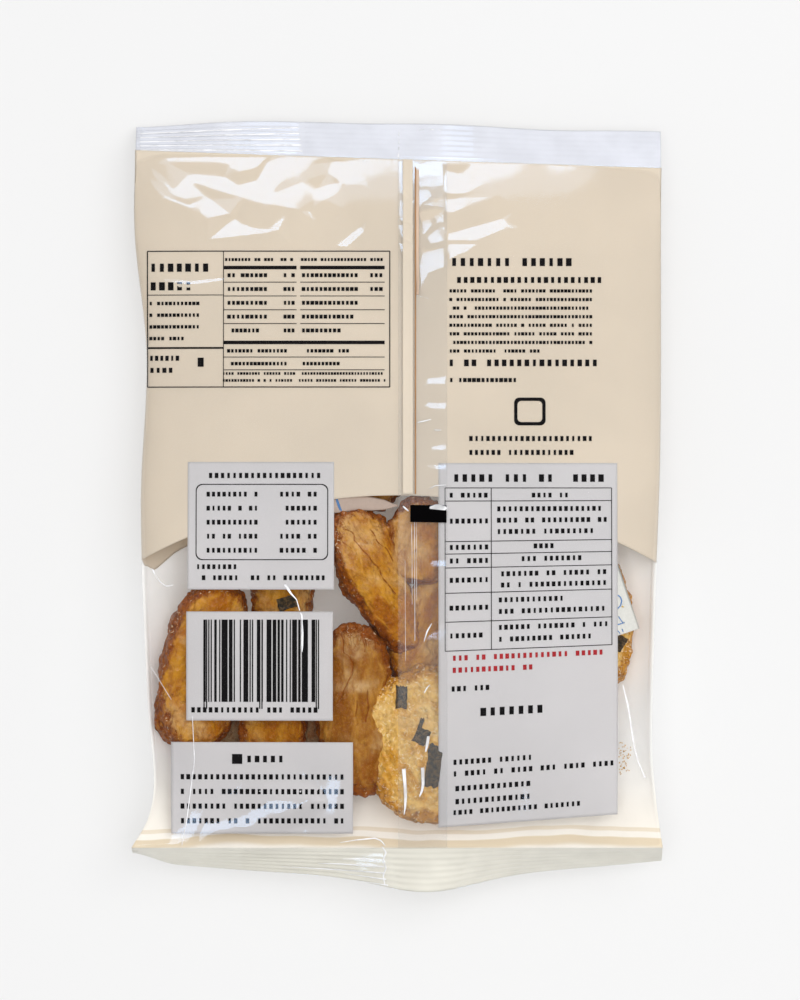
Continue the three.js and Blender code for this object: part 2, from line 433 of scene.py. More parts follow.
SEAM_BEND_BRIGHT = (
    ((399, 160.5), (406, 160), (406.5, 188), (403, 194), (399.5, 192)),
    ((400, 199), (407.5, 198), (407.7, 221), (400.3, 221)),
    ((400.3, 224), (407.5, 223.5), (406, 239), (401, 238)),
    ((401.5, 243), (407.5, 243), (407, 252), (401.5, 252)),
)
SEAM_BEND_FLAT = (
    (398.2, 157), (410, 157), (414.4, 160), (414.4, 175), (414.4, 200), (414.4, 225), (414.4, 245),
    (414.4, 262), (398.2, 197), (398.2, 222.5), (398.2, 241), (398.2, 262), (405, 262),
)

# How hard bright and plain facets pull to their slopes at first and at most, how each grows while a
# facet is wrong, and how hard held and loose corners keep to the film.
BRIGHT_PULL, BRIGHT_PULL_MOST, BRIGHT_GROWTH = 3.0, 8.0, 1.3
PLAIN_PULL, PLAIN_PULL_MOST, PLAIN_GROWTH = 0.5, 4.0, 1.5
HELD, LOOSE = 50.0, 0.05
FOLD_ROUNDS = 14
# A bright facet has to mirror a place well inside the softbox, and a plain one a place outside it.
WELL_INSIDE, WELL_OUTSIDE = 0.9, 1.12
# A plain facet that mirrors a softbox takes a share of its slope that turns it away: the gentler one,
# or the steeper one where that is nearer by this much.
GENTLER, STEEPER, NEARER_BY = 0.55, 1.5, 1.6
SMALLEST_FACET = 0.02
MIRRORED = ("top softbox", "lower softbox")


def on_sheet(sheet, place):
    """x and y of a place that is read off a sheet."""
    left, top, steps = sheet
    across, down = left + place[0] / steps, top + place[1] / steps
    return (across - SHEET_MIDDLE[0]) * SHEET_STEP, (SHEET_MIDDLE[1] - down) * SHEET_STEP


def way_to(azimuth, zenith):
    """The direction of a softbox from the bag."""
    a, z = math.radians(azimuth), math.radians(zenith)
    return np.array((math.cos(a) * math.sin(z), math.sin(a) * math.sin(z), math.cos(z)))


def mirrors(slope, margin):
    """Whether film of this slope shows a softbox to someone looking straight down."""
    normal = np.array((-slope[0], -slope[1], 1.0))
    normal /= np.linalg.norm(normal)
    seen = 2 * normal[2] * normal - np.array((0, 0, 1))
    for name, azimuth, zenith, away, width, height, *_ in SOFTBOXES:
        way = way_to(azimuth, zenith)
        ahead = seen @ way
        if name not in MIRRORED or ahead <= 0:
            continue
        side = np.array((-math.sin(math.radians(azimuth)), math.cos(math.radians(azimuth)), 0))
        place = seen / ahead * away - way * away
        if abs(place @ side) < width / 2 * margin and abs(place @ np.cross(way, side)) < height / 2 * margin:
            return True
    return False


def film_slope(x, y):
    """How the back film slopes along x and along y where no fold is laid yet."""
    step = 0.3

    def height(dx, dy):
        return float(back_height(np.array([x + dx]), np.array([y + dy + SHIFT_Y]), folds=False)[0])

    return np.array((height(step, 0) - height(-step, 0), height(0, step) - height(0, -step))) / (2 * step)


def within(point, outline):
    """Whether a point lies inside a closed outline."""
    x, y = point
    crossed = False
    for (ax, ay), (bx, by) in zip(outline, outline[1:] + outline[:1]):
        if (ay > y) != (by > y) and x < (bx - ax) * (y - ay) / (by - ay) + ax:
            crossed = not crossed
    return crossed


def fold_net(places, outlines):
    """Corners on tenths of a millimetre, edges of the outlines, and which places each corner stands for."""
    corners, edges, _, origins, given, _ = delaunay_2d_cdt(places, [], outlines, 0, 1e-4)
    edges = [edge for edge, outline in zip(edges, given) if outline]
    settled = False
    while not settled:
        snapped = [Vector((round(corner[0], 1), round(corner[1], 1))) for corner in corners]
        corners, edges, _, merged, given, _ = delaunay_2d_cdt(snapped, edges, [], 0, 1e-4)
        origins = [[place for old in group for place in origins[old]] for group in merged]
        edges = [edge for edge, outline in zip(edges, given) if outline]
        settled = all(len(group) == 1 for group in merged)
    return np.round(np.array([tuple(corner) for corner in corners]), 1), edges, origins


def fold_heights(corners, triangles, bright, held, lamp):
    """Heights that make bright facets mirror the lamp while the plain ones stay near the film."""
    azimuth, zenith = next(box[1:3] for box in SOFTBOXES if box[0] == lamp)
    a = math.radians(azimuth)
    aim = -math.tan(math.radians(zenith / 2)) * np.array((math.cos(a), math.sin(a)))
    spots = corners[triangles]
    spans = spots[:, 1:] - spots[:, :1]
    area = np.abs(np.linalg.det(spans)) / 2
    slopes = np.zeros((len(triangles), 2, len(corners)))
    for slope, triangle, turn in zip(slopes, triangles, np.linalg.inv(spans)):
        slope[:, triangle[0]] = -turn[:, 0] - turn[:, 1]
        slope[:, triangle[1:]] = turn
    base = np.array([film_slope(*middle) for middle in spots.mean(1)])
    wanted = np.where(bright[:, None], aim - base, 0.0)
    pull = np.where(bright, BRIGHT_PULL, PLAIN_PULL)
    hold = np.diag(np.where(held, HELD, LOOSE))
    for _ in range(FOLD_ROUNDS):
        weight = (np.sqrt(area) * pull)[:, None]
        rows = np.concatenate(((slopes * weight[..., None]).reshape(-1, len(corners)), hold))
        goals = np.concatenate(((wanted * weight).ravel(), np.zeros(len(corners))))
        heights = np.linalg.lstsq(rows, goals, rcond=None)[0]
        heights = np.round(np.where(held, 0.0, heights), 2)
        for k, slope in enumerate(slopes @ heights + base):
            lit = mirrors(slope, WELL_INSIDE if bright[k] else WELL_OUTSIDE)
            if lit and not bright[k]:
                gentler, steeper = slope * GENTLER - base[k], slope * STEEPER - base[k]
                near = np.linalg.norm(gentler) < np.linalg.norm(steeper) * NEARER_BY
                wanted[k] = gentler if near else steeper
                pull[k] = min(pull[k] * PLAIN_GROWTH, PLAIN_PULL_MOST)
            elif bright[k] and not lit:
                pull[k] = min(pull[k] * BRIGHT_GROWTH, BRIGHT_PULL_MOST)
    return heights


def fold_set(sheet, lamp, bright, flat):
    """A net of folded film, as points (x, y, height) and edges between some of them."""
    places = list(dict.fromkeys(place for outline in (*bright, flat) for place in outline))
    spots = [Vector(on_sheet(sheet, place)) for place in places]
    outlines = [[places.index(place) for place in outline] for outline in bright]
    kept = {places.index(place) for place in flat}
    corners, edges, origins = fold_net(spots, outlines)
    triangles = np.array(facets((corners.tolist(), edges)))
    sides = np.sort(triangles[:, ((0, 1), (1, 2), (2, 0))].reshape(-1, 2), axis=1)
    sides, times = np.unique(sides, axis=0, return_counts=True)
    rim = set(sides[times == 1].ravel().tolist())
    held = np.array([i in rim or bool(kept & set(group)) for i, group in enumerate(origins)])
    spans = corners[triangles[:, 1:]] - corners[triangles[:, :1]]
    triangles = triangles[np.abs(np.linalg.det(spans)) / 2 >= SMALLEST_FACET]
    drawn = [[on_sheet(sheet, place) for place in outline] for outline in bright]
    middles = corners[triangles].mean(1)
    shining = np.array([any(within(middle, outline) for outline in drawn) for middle in middles])
    heights = fold_heights(corners, triangles, shining, held, lamp)
    return np.column_stack((corners, heights)).tolist(), edges


FOLD_SETS = (
    fold_set(LEFT_SHEET, "top softbox", UPPER_LEFT_BRIGHT, UPPER_LEFT_FLAT),
    fold_set(RIGHT_SHEET, "top softbox", UPPER_RIGHT_BRIGHT, UPPER_RIGHT_FLAT),
    fold_set(LOWER_SHEET, "lower softbox", LOWER_LEFT_BRIGHT, LOWER_LEFT_FLAT),
)
SEAM_FOLDS = (
    fold_set(RIGHT_SHEET, "top softbox", SEAM_BRIGHT, SEAM_FLAT),
    fold_set(WHOLE_SHEET, "top softbox", SEAM_EDGE_BRIGHT, SEAM_EDGE_FLAT),
    fold_set(WHOLE_SHEET, "top softbox", SEAM_BEND_BRIGHT, SEAM_BEND_FLAT),
)


# ---------------------------------------------------------------- mesh helpers


def grid_quads(rows, columns, start=0, closed=False):
    """Quads of a grid of points, row by row. A closed grid joins its last column to its first."""
    j, i = np.meshgrid(np.arange(rows - 1), np.arange(columns - (0 if closed else 1)), indexing="ij")
    here, right = j * columns + i, j * columns + (i + 1) % columns
    quads = np.stack((here, right, right + columns, here + columns), -1)
    return quads.reshape(-1, 4) + start


def new_piece(name, points, quads, material, smooth=True):
    """A mesh object from points in millimetres."""
    mesh = bpy.data.meshes.new(name)
    faces = quads if isinstance(quads, list) else quads.tolist()
    mesh.from_pydata((np.asarray(points).reshape(-1, 3) * MM).tolist(), [], faces)
    mesh.materials.append(material)
    mesh.polygons.foreach_set("use_smooth", np.full(len(mesh.polygons), smooth))
    mesh.update()
    piece = bpy.data.objects.new(name, mesh)
    bpy.context.scene.collection.objects.link(piece)
    return piece


def inset(grid, depth, closed=False):
    """A grid of points moved under its own surface by depth."""
    padded = np.concatenate((grid[:, -1:], grid, grid[:, :1]), 1) if closed else grid
    across = np.gradient(padded, axis=1)
    across = across[:, 1:-1] if closed else across
    along = np.gradient(grid, axis=0)
    normal = np.cross(across, along)
    normal /= np.linalg.norm(normal, axis=-1, keepdims=True) + 1e-12
    return grid - normal * depth


def sheet_of(name, grid, thick, material, closed=False):
    """A thin closed plate: the grid on top, and the same grid one thickness lower."""
    rows, columns = grid.shape[:2]
    under = inset(grid, thick, closed)
    count = rows * columns
    top = grid_quads(rows, columns, 0, closed)
    bottom = grid_quads(rows, columns, count, closed)[:, ::-1]
    rims = []
    for j, flip in ((0, False), (rows - 1, True)):
        line = j * columns + np.arange(columns)
        a, b = (line, np.roll(line, -1)) if closed else (line[:-1], line[1:])
        quad = np.stack((a, a + count, b + count, b), -1)
        rims.append(quad[:, ::-1] if flip else quad)
    if not closed:
        for i, flip in ((0, True), (columns - 1, False)):
            line = np.arange(rows) * columns + i
            a, b = line[:-1], line[1:]
            quad = np.stack((a, a + count, b + count, b), -1)
            rims.append(quad[:, ::-1] if flip else quad)
    points = np.concatenate((grid.reshape(-1, 3), under.reshape(-1, 3)))
    return new_piece(name, points, np.concatenate((top, bottom, *rims)), material)


def settle(piece, slot_name, *nodes):
    """Makes a finished piece move with the bag and hides the imported parts that it stands in for. slot_name
    is not used.
    """
    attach(piece, BODY)
    if nodes:
        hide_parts(*nodes)
    return piece


class Grain:
    """Smooth random relief in space, the same on every run."""

    SIZE = 32

    def __init__(self, seed):
        self.values = np.random.default_rng(seed).uniform(-1, 1, (self.SIZE,) * 3)

    def at(self, points, pitch):
        cell = np.asarray(points) / pitch
        base = np.floor(cell).astype(int)
        f = cell - base
        f = f * f * f * (f * (f * 6 - 15) + 10)
        total = np.zeros(cell.shape[:-1])
        for corner in np.ndindex(2, 2, 2):
            weight = np.prod(np.where(corner, f, 1 - f), axis=-1)
            total += weight * self.values[tuple(np.moveaxis((base + corner) % self.SIZE, -1, 0))]
        return total


def ball_grid(cells):
    """Directions and quads of a closed ball made of six even grids."""
    line = np.tan(np.linspace(-1, 1, cells + 1) * math.pi / 4)
    a, b = np.meshgrid(line, line, indexing="ij")
    one = np.ones_like(a)
    sides = ((a, b, one), (b, a, -one), (one, a, b), (-one, b, a), (b, one, a), (a, -one, b))
    points = np.concatenate([np.stack(side, -1).reshape(-1, 3) for side in sides])
    count = (cells + 1) ** 2
    i, j = np.meshgrid(np.arange(cells), np.arange(cells), indexing="ij")
    here = (i * (cells + 1) + j).reshape(-1)
    one_side = np.stack((here, here + cells + 1, here + cells + 2, here + 1), -1)
    quads = np.concatenate([one_side + k * count for k in range(6)])
    points /= np.linalg.norm(points, axis=1, keepdims=True)
    _, first, welded = np.unique(np.round(points, 6), axis=0, return_index=True, return_inverse=True)
    return points[first], welded.reshape(-1)[quads]


# ---------------------------------------------------------------- materials


def linear(red, green, blue):
    """A colour given as 0 to 255 screen values, for a shader."""
    channels = (c / 255 for c in (red, green, blue))
    return tuple(c / 12.92 if c <= 0.04045 else ((c + 0.055) / 1.055) ** 2.4 for c in channels) + (1.0,)


class Shader:
    """A material's node tree, with nodes added and joined by name."""

    def __init__(self, name):
        self.material = bpy.data.materials.new(name)
        self.material.use_nodes = True
        self.tree = self.material.node_tree
        self.tree.nodes.clear()
        self.output = self.add("ShaderNodeOutputMaterial")
        self.place = self.add("ShaderNodeTexCoord").outputs["Object"]

    def add(self, kind, settings=None, **sockets):
        node = self.tree.nodes.new(kind)
        for name, value in (settings or {}).items():
            setattr(node, name, value)
        for name, value in sockets.items():
            socket = node.inputs[int(name[1:])] if name[1:].isdigit() else node.inputs[name.replace("_", " ")]
            if isinstance(value, bpy.types.NodeSocket):
                self.tree.links.new(value, socket)
            else:
                socket.default_value = value
        return node

    def noise(self, pitch, detail=3.0, roughness=0.5, distortion=0.0, vector=None):
        """Noise with features about pitch millimetres across, from 0 to 1."""
        node = self.add(
            "ShaderNodeTexNoise", None, Vector=vector or self.place, Scale=1 / (pitch * MM),
            Detail=detail, Roughness=roughness, Distortion=distortion,
        )
        return node.outputs["Fac"]

    def cells(self, pitch, feature="F1", smooth=0.0):
        settings = {"feature": "SMOOTH_F1" if smooth else feature}
        node = self.add("ShaderNodeTexVoronoi", settings, Vector=self.place, Scale=1 / (pitch * MM))
        if smooth:
            node.inputs["Smoothness"].default_value = smooth
        return node.outputs["Distance"]

    def ramp(self, value, low, high, to_low=0.0, to_high=1.0):
        node = self.add(
            "ShaderNodeMapRange", {"interpolation_type": "SMOOTHSTEP"}, Value=value,
            From_Min=low, From_Max=high, To_Min=to_low, To_Max=to_high,
        )
        return node.outputs["Result"]

    def maths(self, operation, a, b=0.0):
        return self.add("ShaderNodeMath", {"operation": operation}, _0=a, _1=b).outputs[0]

    def blend(self, amount, a, b, mode="MIX"):
        node = self.add("ShaderNodeMix", {"data_type": "RGBA", "blend_type": mode}, _0=amount, _6=a, _7=b)
        return node.outputs[2]

    def bump(self, height, distance, strength=1.0, normal=None):
        node = self.add("ShaderNodeBump", None, Height=height, Distance=distance * MM, Strength=strength)
        if normal:
            self.tree.links.new(normal, node.inputs["Normal"])
        return node.outputs["Normal"]

    def attribute(self, name):
        return self.add("ShaderNodeAttribute", {"attribute_name": name}).outputs["Fac"]

    def show(self, surface):
        self.tree.links.new(surface, self.output.inputs["Surface"])
        return self.material


def film_material(name, veil, gloss, veil_colour):
    """Thin clear film: see-through, with a mirror sheen and a faint milky veil."""
    s = Shader(name)
    waves = s.noise(7.0, 2.0)
    grain = s.noise(0.9, 2.0)
    normal = s.bump(waves, 0.05, 0.5)
    rough = s.ramp(grain, 0.3, 0.7, 0.05, 0.11)
    clear = s.add("ShaderNodeBsdfTransparent", None, Color=(1, 1, 1, 1))
    milk = s.add("ShaderNodeBsdfDiffuse", None, Color=veil_colour, Normal=normal)
    body = s.add("ShaderNodeMixShader", None, _0=veil, _1=clear.outputs[0], _2=milk.outputs[0])
    sheen = s.add("ShaderNodeBsdfGlossy", None, Color=(1, 1, 1, 1), Roughness=rough, Normal=normal)
    fresnel = s.add("ShaderNodeFresnel", None, IOR=1.5, Normal=normal).outputs[0]
    amount = s.maths("MINIMUM", s.maths("MULTIPLY", fresnel, gloss), 0.15)
    mixed = s.add("ShaderNodeMixShader", None, _0=amount, _1=body.outputs[0], _2=sheen.outputs[0])
    return s.show(mixed.outputs[0])


def print_material(name, colour, shade, pitch=26.0, see_through=0.35):
    """Ink on film: a soft change of tone and fine grain, and it lets part of the light into the bag."""
    s = Shader(name)
    tone = s.ramp(s.noise(pitch, 2.0), 0.3, 0.7, 0.0, 1.0)
    dark = tuple(c * shade for c in colour[:3]) + (1.0,)
    cloudy = s.blend(tone, dark, colour)
    grain = s.ramp(s.noise(0.5, 1.0), 0.35, 0.65, 0.0, 0.06)
    base = s.blend(grain, cloudy, (1, 1, 1, 1), "SOFT_LIGHT")
    diffuse = s.add("ShaderNodeBsdfDiffuse", None, Color=base)
    glow = s.add("ShaderNodeBsdfTranslucent", None, Color=base)
    body = s.add("ShaderNodeMixShader", None, _0=see_through, _1=diffuse.outputs[0], _2=glow.outputs[0])
    return s.show(body.outputs[0])


def lining_material(colours):
    """The inside of the front film: pale, with tan bands where it rises to the bottom seal. It also glows
    faintly, painted light that brightens the inside of the bag.
    """
    s = Shader("Pale lining with painted glow")
    y = s.add("ShaderNodeSeparateXYZ", None, Vector=s.place).outputs["Y"]
    drift = s.maths("MULTIPLY", s.noise(30.0, 2.0), 5 * MM)
    level = s.maths("ADD", y, drift)
    seal = (SEAL_LINE_BOTTOM + SHIFT_Y) * MM
    wide = s.maths("MULTIPLY", s.ramp(level, seal + 2.2 * MM, seal + 3.8 * MM, 0.45, 1.0),
                   s.ramp(level, seal + 5.2 * MM, seal + 6.0 * MM, 1.0, 0.0))
    narrow = s.maths("MULTIPLY", s.ramp(level, seal + 6.7 * MM, seal + 7.3 * MM, 0.0, 0.8),
                     s.ramp(level, seal + 8.0 * MM, seal + 8.6 * MM, 1.0, 0.0))
    warm = s.ramp(level, seal + 8.0 * MM, seal + 32.0 * MM, 0.4, 0.0)
    stripe = s.maths("MAXIMUM", s.maths("MAXIMUM", wide, narrow), warm)
    tone = s.ramp(s.noise(18.0, 3.0), 0.3, 0.7, 0.0, 1.0)
    base = colours.lining
    cloudy = s.blend(tone, tuple(c * 0.93 for c in base[:3]) + (1.0,), tuple(base))
    banded = s.blend(stripe, cloudy, tuple(colours.band))
    normal = s.bump(s.noise(5.0, 3.0), 0.25, 0.6)
    # Painted light: the lining glows faintly through its emission, which brightens the inside of the bag.
    shader = s.add(
        "ShaderNodeBsdfPrincipled", None, Base_Color=banded, Roughness=0.9, Specular_IOR_Level=0.0,
        Normal=normal, Emission_Color=banded, Emission_Strength=0.13,
    )
    return s.show(shader.outputs[0])


def web_material(name, colour, milk):
    """Two welded layers of film: a pale milky web that lets light through."""
    s = Shader(name)
    tone = s.ramp(s.noise(9.0, 3.0), 0.3, 0.7, 0.92, 1.0)
    grey = s.add("ShaderNodeCombineColor", None, Red=tone, Green=tone, Blue=tone).outputs[0]
    base = s.blend(1.0, grey, colour, "MULTIPLY")
    diffuse = s.add("ShaderNodeBsdfDiffuse", None, Color=base)
    clear = s.add("ShaderNodeBsdfTransparent", None, Color=(1, 1, 1, 1))
    body = s.add("ShaderNodeMixShader", None, _0=milk, _1=clear.outputs[0], _2=diffuse.outputs[0])
    return s.show(body.outputs[0])


# How each kind of crust looks: coat and its roughness, height of the lumps in its glaze, how much
# longer its marks are than wide, and how brown its sides are.
CRUSTS = {
    "glazed": (0.6, 0.1, 0.5, 2.0, 1.0),
    "matt": (0.3, 0.2, 0.3, 3.0, 0.85),
    "wet": (0.8, 0.08, 1.2, 1.2, 0.3),
    # The deep crackers' crust is painted shade: a darkened copy that stands for the shade in the gaps.
    "shade_darkened": (0.3, 0.25, 0.4, 1.5, 1.0),
}


def cracker_material(colours, crust):
    """Puffed rice dough under soy glaze: mottled tops, brown baked sides, streaks, cracks and blisters, with
    painted highlights on rims and glaze and painted shade in the cracks.
    """
    coat, coat_rough, lump, drawn, shade = CRUSTS[crust]
    top, light = tuple(getattr(colours, crust + "_top")), tuple(getattr(colours, crust + "_pale"))
    brown = tuple(mix(a, b, shade) for a, b in zip(top, colours.cracker_brown))
    dark = tuple(mix(a, b, shade) for a, b in zip(colours.cracker_brown, colours.cracker_dark))
    s = Shader(crust.capitalize() + " cracker")
    side, hollow = s.attribute("side"), s.attribute("hollow")
    own = s.add("ShaderNodeAttribute", {"attribute_name": "own"}).outputs["Vector"]
    along = s.add("ShaderNodeVectorMath", {"operation": "MULTIPLY"}, _0=own, _1=(1 / drawn, 1, 1)).outputs[0]
    blotch = s.ramp(s.noise(7.0, 4.0, 0.6, 0.6, along), 0.36, 0.62)
    streak = s.ramp(s.noise(1.5, 5.0, 0.72, 0.6, along), 0.44, 0.68)
    patch = s.ramp(s.noise(3.2, 5.0, 0.66, 0.8, along), 0.5, 0.66)
    fleck = s.ramp(s.noise(0.8, 4.0, 0.75, 0.0, own), 0.5, 0.66)
    straw = tuple(mix(a, b, 0.4) for a, b in zip(light, linear(236, 214, 168)))
    base = s.blend(blotch, top, light)
    base = s.blend(s.ramp(s.noise(15.0, 3.0, 0.55, 0.5, own), 0.48, 0.66, 0.0, 0.75), base, straw)
    base = s.blend(s.maths("MULTIPLY", patch, 0.5), base, brown)
    base = s.blend(s.maths("MULTIPLY", streak, 0.4), base, brown)
    base = s.blend(s.maths("MULTIPLY", fleck, mix(0.75, 0.4, shade)), base, light)
    edge = s.ramp(s.maths("ADD", side, s.maths("MULTIPLY", streak, 0.45)), 0.5, 1.15)
    base = s.blend(edge, base, brown)
    crumb = s.maths("MULTIPLY", s.ramp(s.noise(1.3, 4.0, 0.75, 0.4, own), 0.49, 0.58), edge)
    base = s.blend(s.maths("MULTIPLY", crumb, 0.65), base, dark)
    burnt = s.ramp(s.noise(4.2, 4.0, 0.7, 1.0, own), 0.6, 0.74, 0.0, 0.45 * shade)
    base = s.blend(burnt, base, dark)
    # Painted highlight: a paler band along the rim, broken into patches.
    rim = s.maths("MULTIPLY", s.ramp(side, 0.2, 0.4), s.ramp(side, 0.42, 0.65, 1.0, 0.0))
    rim_highlight_patches = s.ramp(s.noise(4.0, 2.0, 0.5, 0.0, own), 0.42, 0.6, 0.0, 0.6)
    base = s.blend(s.maths("MULTIPLY", rim, rim_highlight_patches), base, light)
    line = s.maths("ABSOLUTE", s.maths("SUBTRACT", s.noise(8.0, 4.0, 0.6, 0.8, along), 0.5))
    fissure = s.maths(
        "MULTIPLY", s.ramp(line, 0.0, 0.008, 1.0, 0.0),
        s.ramp(s.noise(9.0, 1.0, 0.5, 0.0, own), 0.5, 0.6, 0.0, 0.6),
    )
    # Cracks and hollows take a darker brown: partly the crust's own colour, partly painted shade in the
    # recesses.
    deep = s.maths(
        "MULTIPLY", s.ramp(hollow, 0.35, 0.95),
        s.ramp(s.noise(1.6, 2.0, 0.5, 0.0, own), 0.3, 0.55, 0.3, 1.0),
    )
    crack_colour_and_shade = tuple(mix(a, b, 0.25) for a, b in zip(brown, dark))
    base = s.blend(s.maths("MAXIMUM", fissure, deep), base, crack_colour_and_shade)
    # Painted highlights: near-white sparkles on the wet glaze and glints on the sides, painted into the
    # colour.
    painted_sparkle = s.ramp(s.noise(1.3, 1.0, 0.5, 1.8, own), 0.62, 0.68, 0.0, max(0.0, 0.95 - 1.1 * shade))
    painted_glint = s.maths("MULTIPLY", s.ramp(s.noise(1.1, 2.0, 0.6, 1.2, own), 0.64, 0.7, 0.0, 0.7), edge)
    base = s.blend(s.maths("MAXIMUM", painted_sparkle, painted_glint), base, linear(255, 236, 196))
    normal = s.bump(s.cells(mix(1.9, 1.2, shade), smooth=0.35), lump, 0.9)
    normal = s.bump(s.noise(0.45, 4.0, 0.65, 0.0, own), 0.2, 0.8, normal)
    normal = s.bump(streak, -0.22, 0.7, normal)
    normal = s.bump(fissure, -0.4, 0.8, normal)
    shader = s.add(
        "ShaderNodeBsdfPrincipled", None, Base_Color=base, Roughness=0.5, Normal=normal,
        Subsurface_Weight=0.05, Subsurface_Radius=(0.003, 0.0014, 0.0005), Coat_Weight=coat,
        Coat_Roughness=coat_rough, Coat_Normal=normal, Specular_IOR_Level=0.08,
    )
    return s.show(shader.outputs[0])


def highlight_stroke_material():
    """Painted highlights: white strokes on the film, broken here and there, that stand in for its
    reflections.
    """
    s = Shader("Painted film highlights")
    broken = s.ramp(s.noise(6.0, 3.0), 0.35, 0.6, 0.45, 0.95)
    clear = s.add("ShaderNodeBsdfTransparent", None, Color=(1, 1, 1, 1))
    white = s.add("ShaderNodeBsdfDiffuse", None, Color=(0.98, 0.98, 1, 1))
    body = s.add("ShaderNodeMixShader", None, _0=broken, _1=clear.outputs[0], _2=white.outputs[0])
    return s.show(body.outputs[0])


def nori_material(colours):
    s = Shader("Dried seaweed")
    tone = s.ramp(s.noise(0.9, 4.0, 0.75), 0.42, 0.62)
    base = s.blend(tone, tuple(colours.nori), linear(104, 80, 46))
    normal = s.bump(s.noise(0.6, 3.0), 0.12, 0.8)
    shader = s.add("ShaderNodeBsdfPrincipled", None, Base_Color=base, Roughness=0.55, Normal=normal)
    return s.show(shader.outputs[0])


def paper_material(name, colour):
    """Soft paper film with faint fibres and wrinkles."""
    s = Shader(name)
    fibre = s.ramp(s.noise(0.8, 4.0), 0.3, 0.7)
    sheet = s.blend(fibre, tuple(c * 0.95 for c in colour[:3]) + (1.0,), colour)
    normal = s.bump(s.noise(1.2, 3.0), 0.08, 0.5)
    shader = s.add("ShaderNodeBsdfPrincipled", None, Base_Color=sheet, Roughness=0.8, Normal=normal)
    return s.show(shader.outputs[0])


def floor_material():
    s = Shader("Pale floor")
    tone = s.ramp(s.noise(400.0, 2.0), 0.3, 0.7)
    base = s.blend(tone, (0.345, 0.345, 0.345, 1), (0.36, 0.36, 0.36, 1))
    shader = s.add(
        "ShaderNodeBsdfPrincipled", None, Base_Color=base, Roughness=0.9, Specular_IOR_Level=0.0,
        Emission_Color=(1, 1, 1, 1), Emission_Strength=0.5,
    )
    return s.show(shader.outputs[0])


# ---------------------------------------------------------------- geometry node trees


class Tree:
    """A geometry node tree with named inputs, that ends in Realize Instances and Set Material."""

    def __init__(self, name, inputs, takes_mesh=False):
        self.tree = bpy.data.node_groups.new(name, "GeometryNodeTree")
        face = self.tree.interface
        face.new_socket("Geometry", in_out="OUTPUT", socket_type="NodeSocketGeometry")
        if takes_mesh:
            face.new_socket("Geometry", in_out="INPUT", socket_type="NodeSocketGeometry")
        self.identifiers = {}
        for label, kind, default in inputs:
            socket = face.new_socket(label, in_out="INPUT", socket_type=kind)
            if default is not None:
                socket.default_value = default
            self.identifiers[label] = socket.identifier
        self.given = self.tree.nodes.new("NodeGroupInput").outputs
        self.out = self.tree.nodes.new("NodeGroupOutput")

    def add(self, kind, settings=None, **sockets):
        node = self.tree.nodes.new(kind)
        for name, value in (settings or {}).items():
            setattr(node, name, value)
        for name, value in sockets.items():
            socket = node.inputs[int(name[1:])] if name[1:].isdigit() else node.inputs[name.replace("_", " ")]
            if isinstance(value, bpy.types.NodeSocket):
                self.tree.links.new(value, socket)
            else:
                socket.default_value = value
        return node

    def maths(self, operation, a, b=0.0):
        return self.add("ShaderNodeMath", {"operation": operation}, _0=a, _1=b).outputs[0]

    def vector(self, x=0.0, y=0.0, z=0.0):
        return self.add("ShaderNodeCombineXYZ", None, X=x, Y=y, Z=z).outputs[0]

    def random(self, low, high, seed):
        node = self.add("FunctionNodeRandomValue", {"data_type": "FLOAT"}, _2=low, _3=high, Seed=seed)
        return node.outputs[1]

    def chance(self, share, seed):
        node = self.add("FunctionNodeRandomValue", {"data_type": "BOOLEAN"}, Probability=share, Seed=seed)
        return node.outputs[3]

    def finish(self, instances):
        real = self.add("GeometryNodeRealizeInstances", None, Geometry=instances).outputs[0]
        dressed = self.add("GeometryNodeSetMaterial", None, Geometry=real, Material=self.given["Material"])
        self.tree.links.new(dressed.outputs[0], self.out.inputs[0])
        return self

    def grow(self, base=None, **values):
        """The tree's result as points in millimetres and faces."""
        seed_mesh = bpy.data.meshes.new("growing")
        if base:
            points, edges, weights = base
            seed_mesh.from_pydata((np.array(points) * MM).tolist(), edges, [])
            widths = seed_mesh.attributes.new("weight", "FLOAT", "POINT")
            widths.data.foreach_set("value", np.array(weights, np.float32) * MM)
        base = bpy.data.objects.new("growing", seed_mesh)
        bpy.context.scene.collection.objects.link(base)
        modifier = base.modifiers.new("Tree", "NODES")
        modifier.node_group = self.tree
        for label, value in values.items():
            modifier[self.identifiers[label.replace("_", " ")]] = value
        graph = bpy.context.evaluated_depsgraph_get()
        mesh = bpy.data.meshes.new_from_object(base.evaluated_get(graph))
        base.modifiers.clear()
        bpy.data.objects.remove(base)
        points = np.array([v.co for v in mesh.vertices], float).reshape(-1, 3) / MM
        faces = [list(p.vertices) for p in mesh.polygons]
        bpy.data.meshes.remove(mesh)
        return points, faces


MATERIAL_INPUT = ("Material", "NodeSocketMaterial", None)


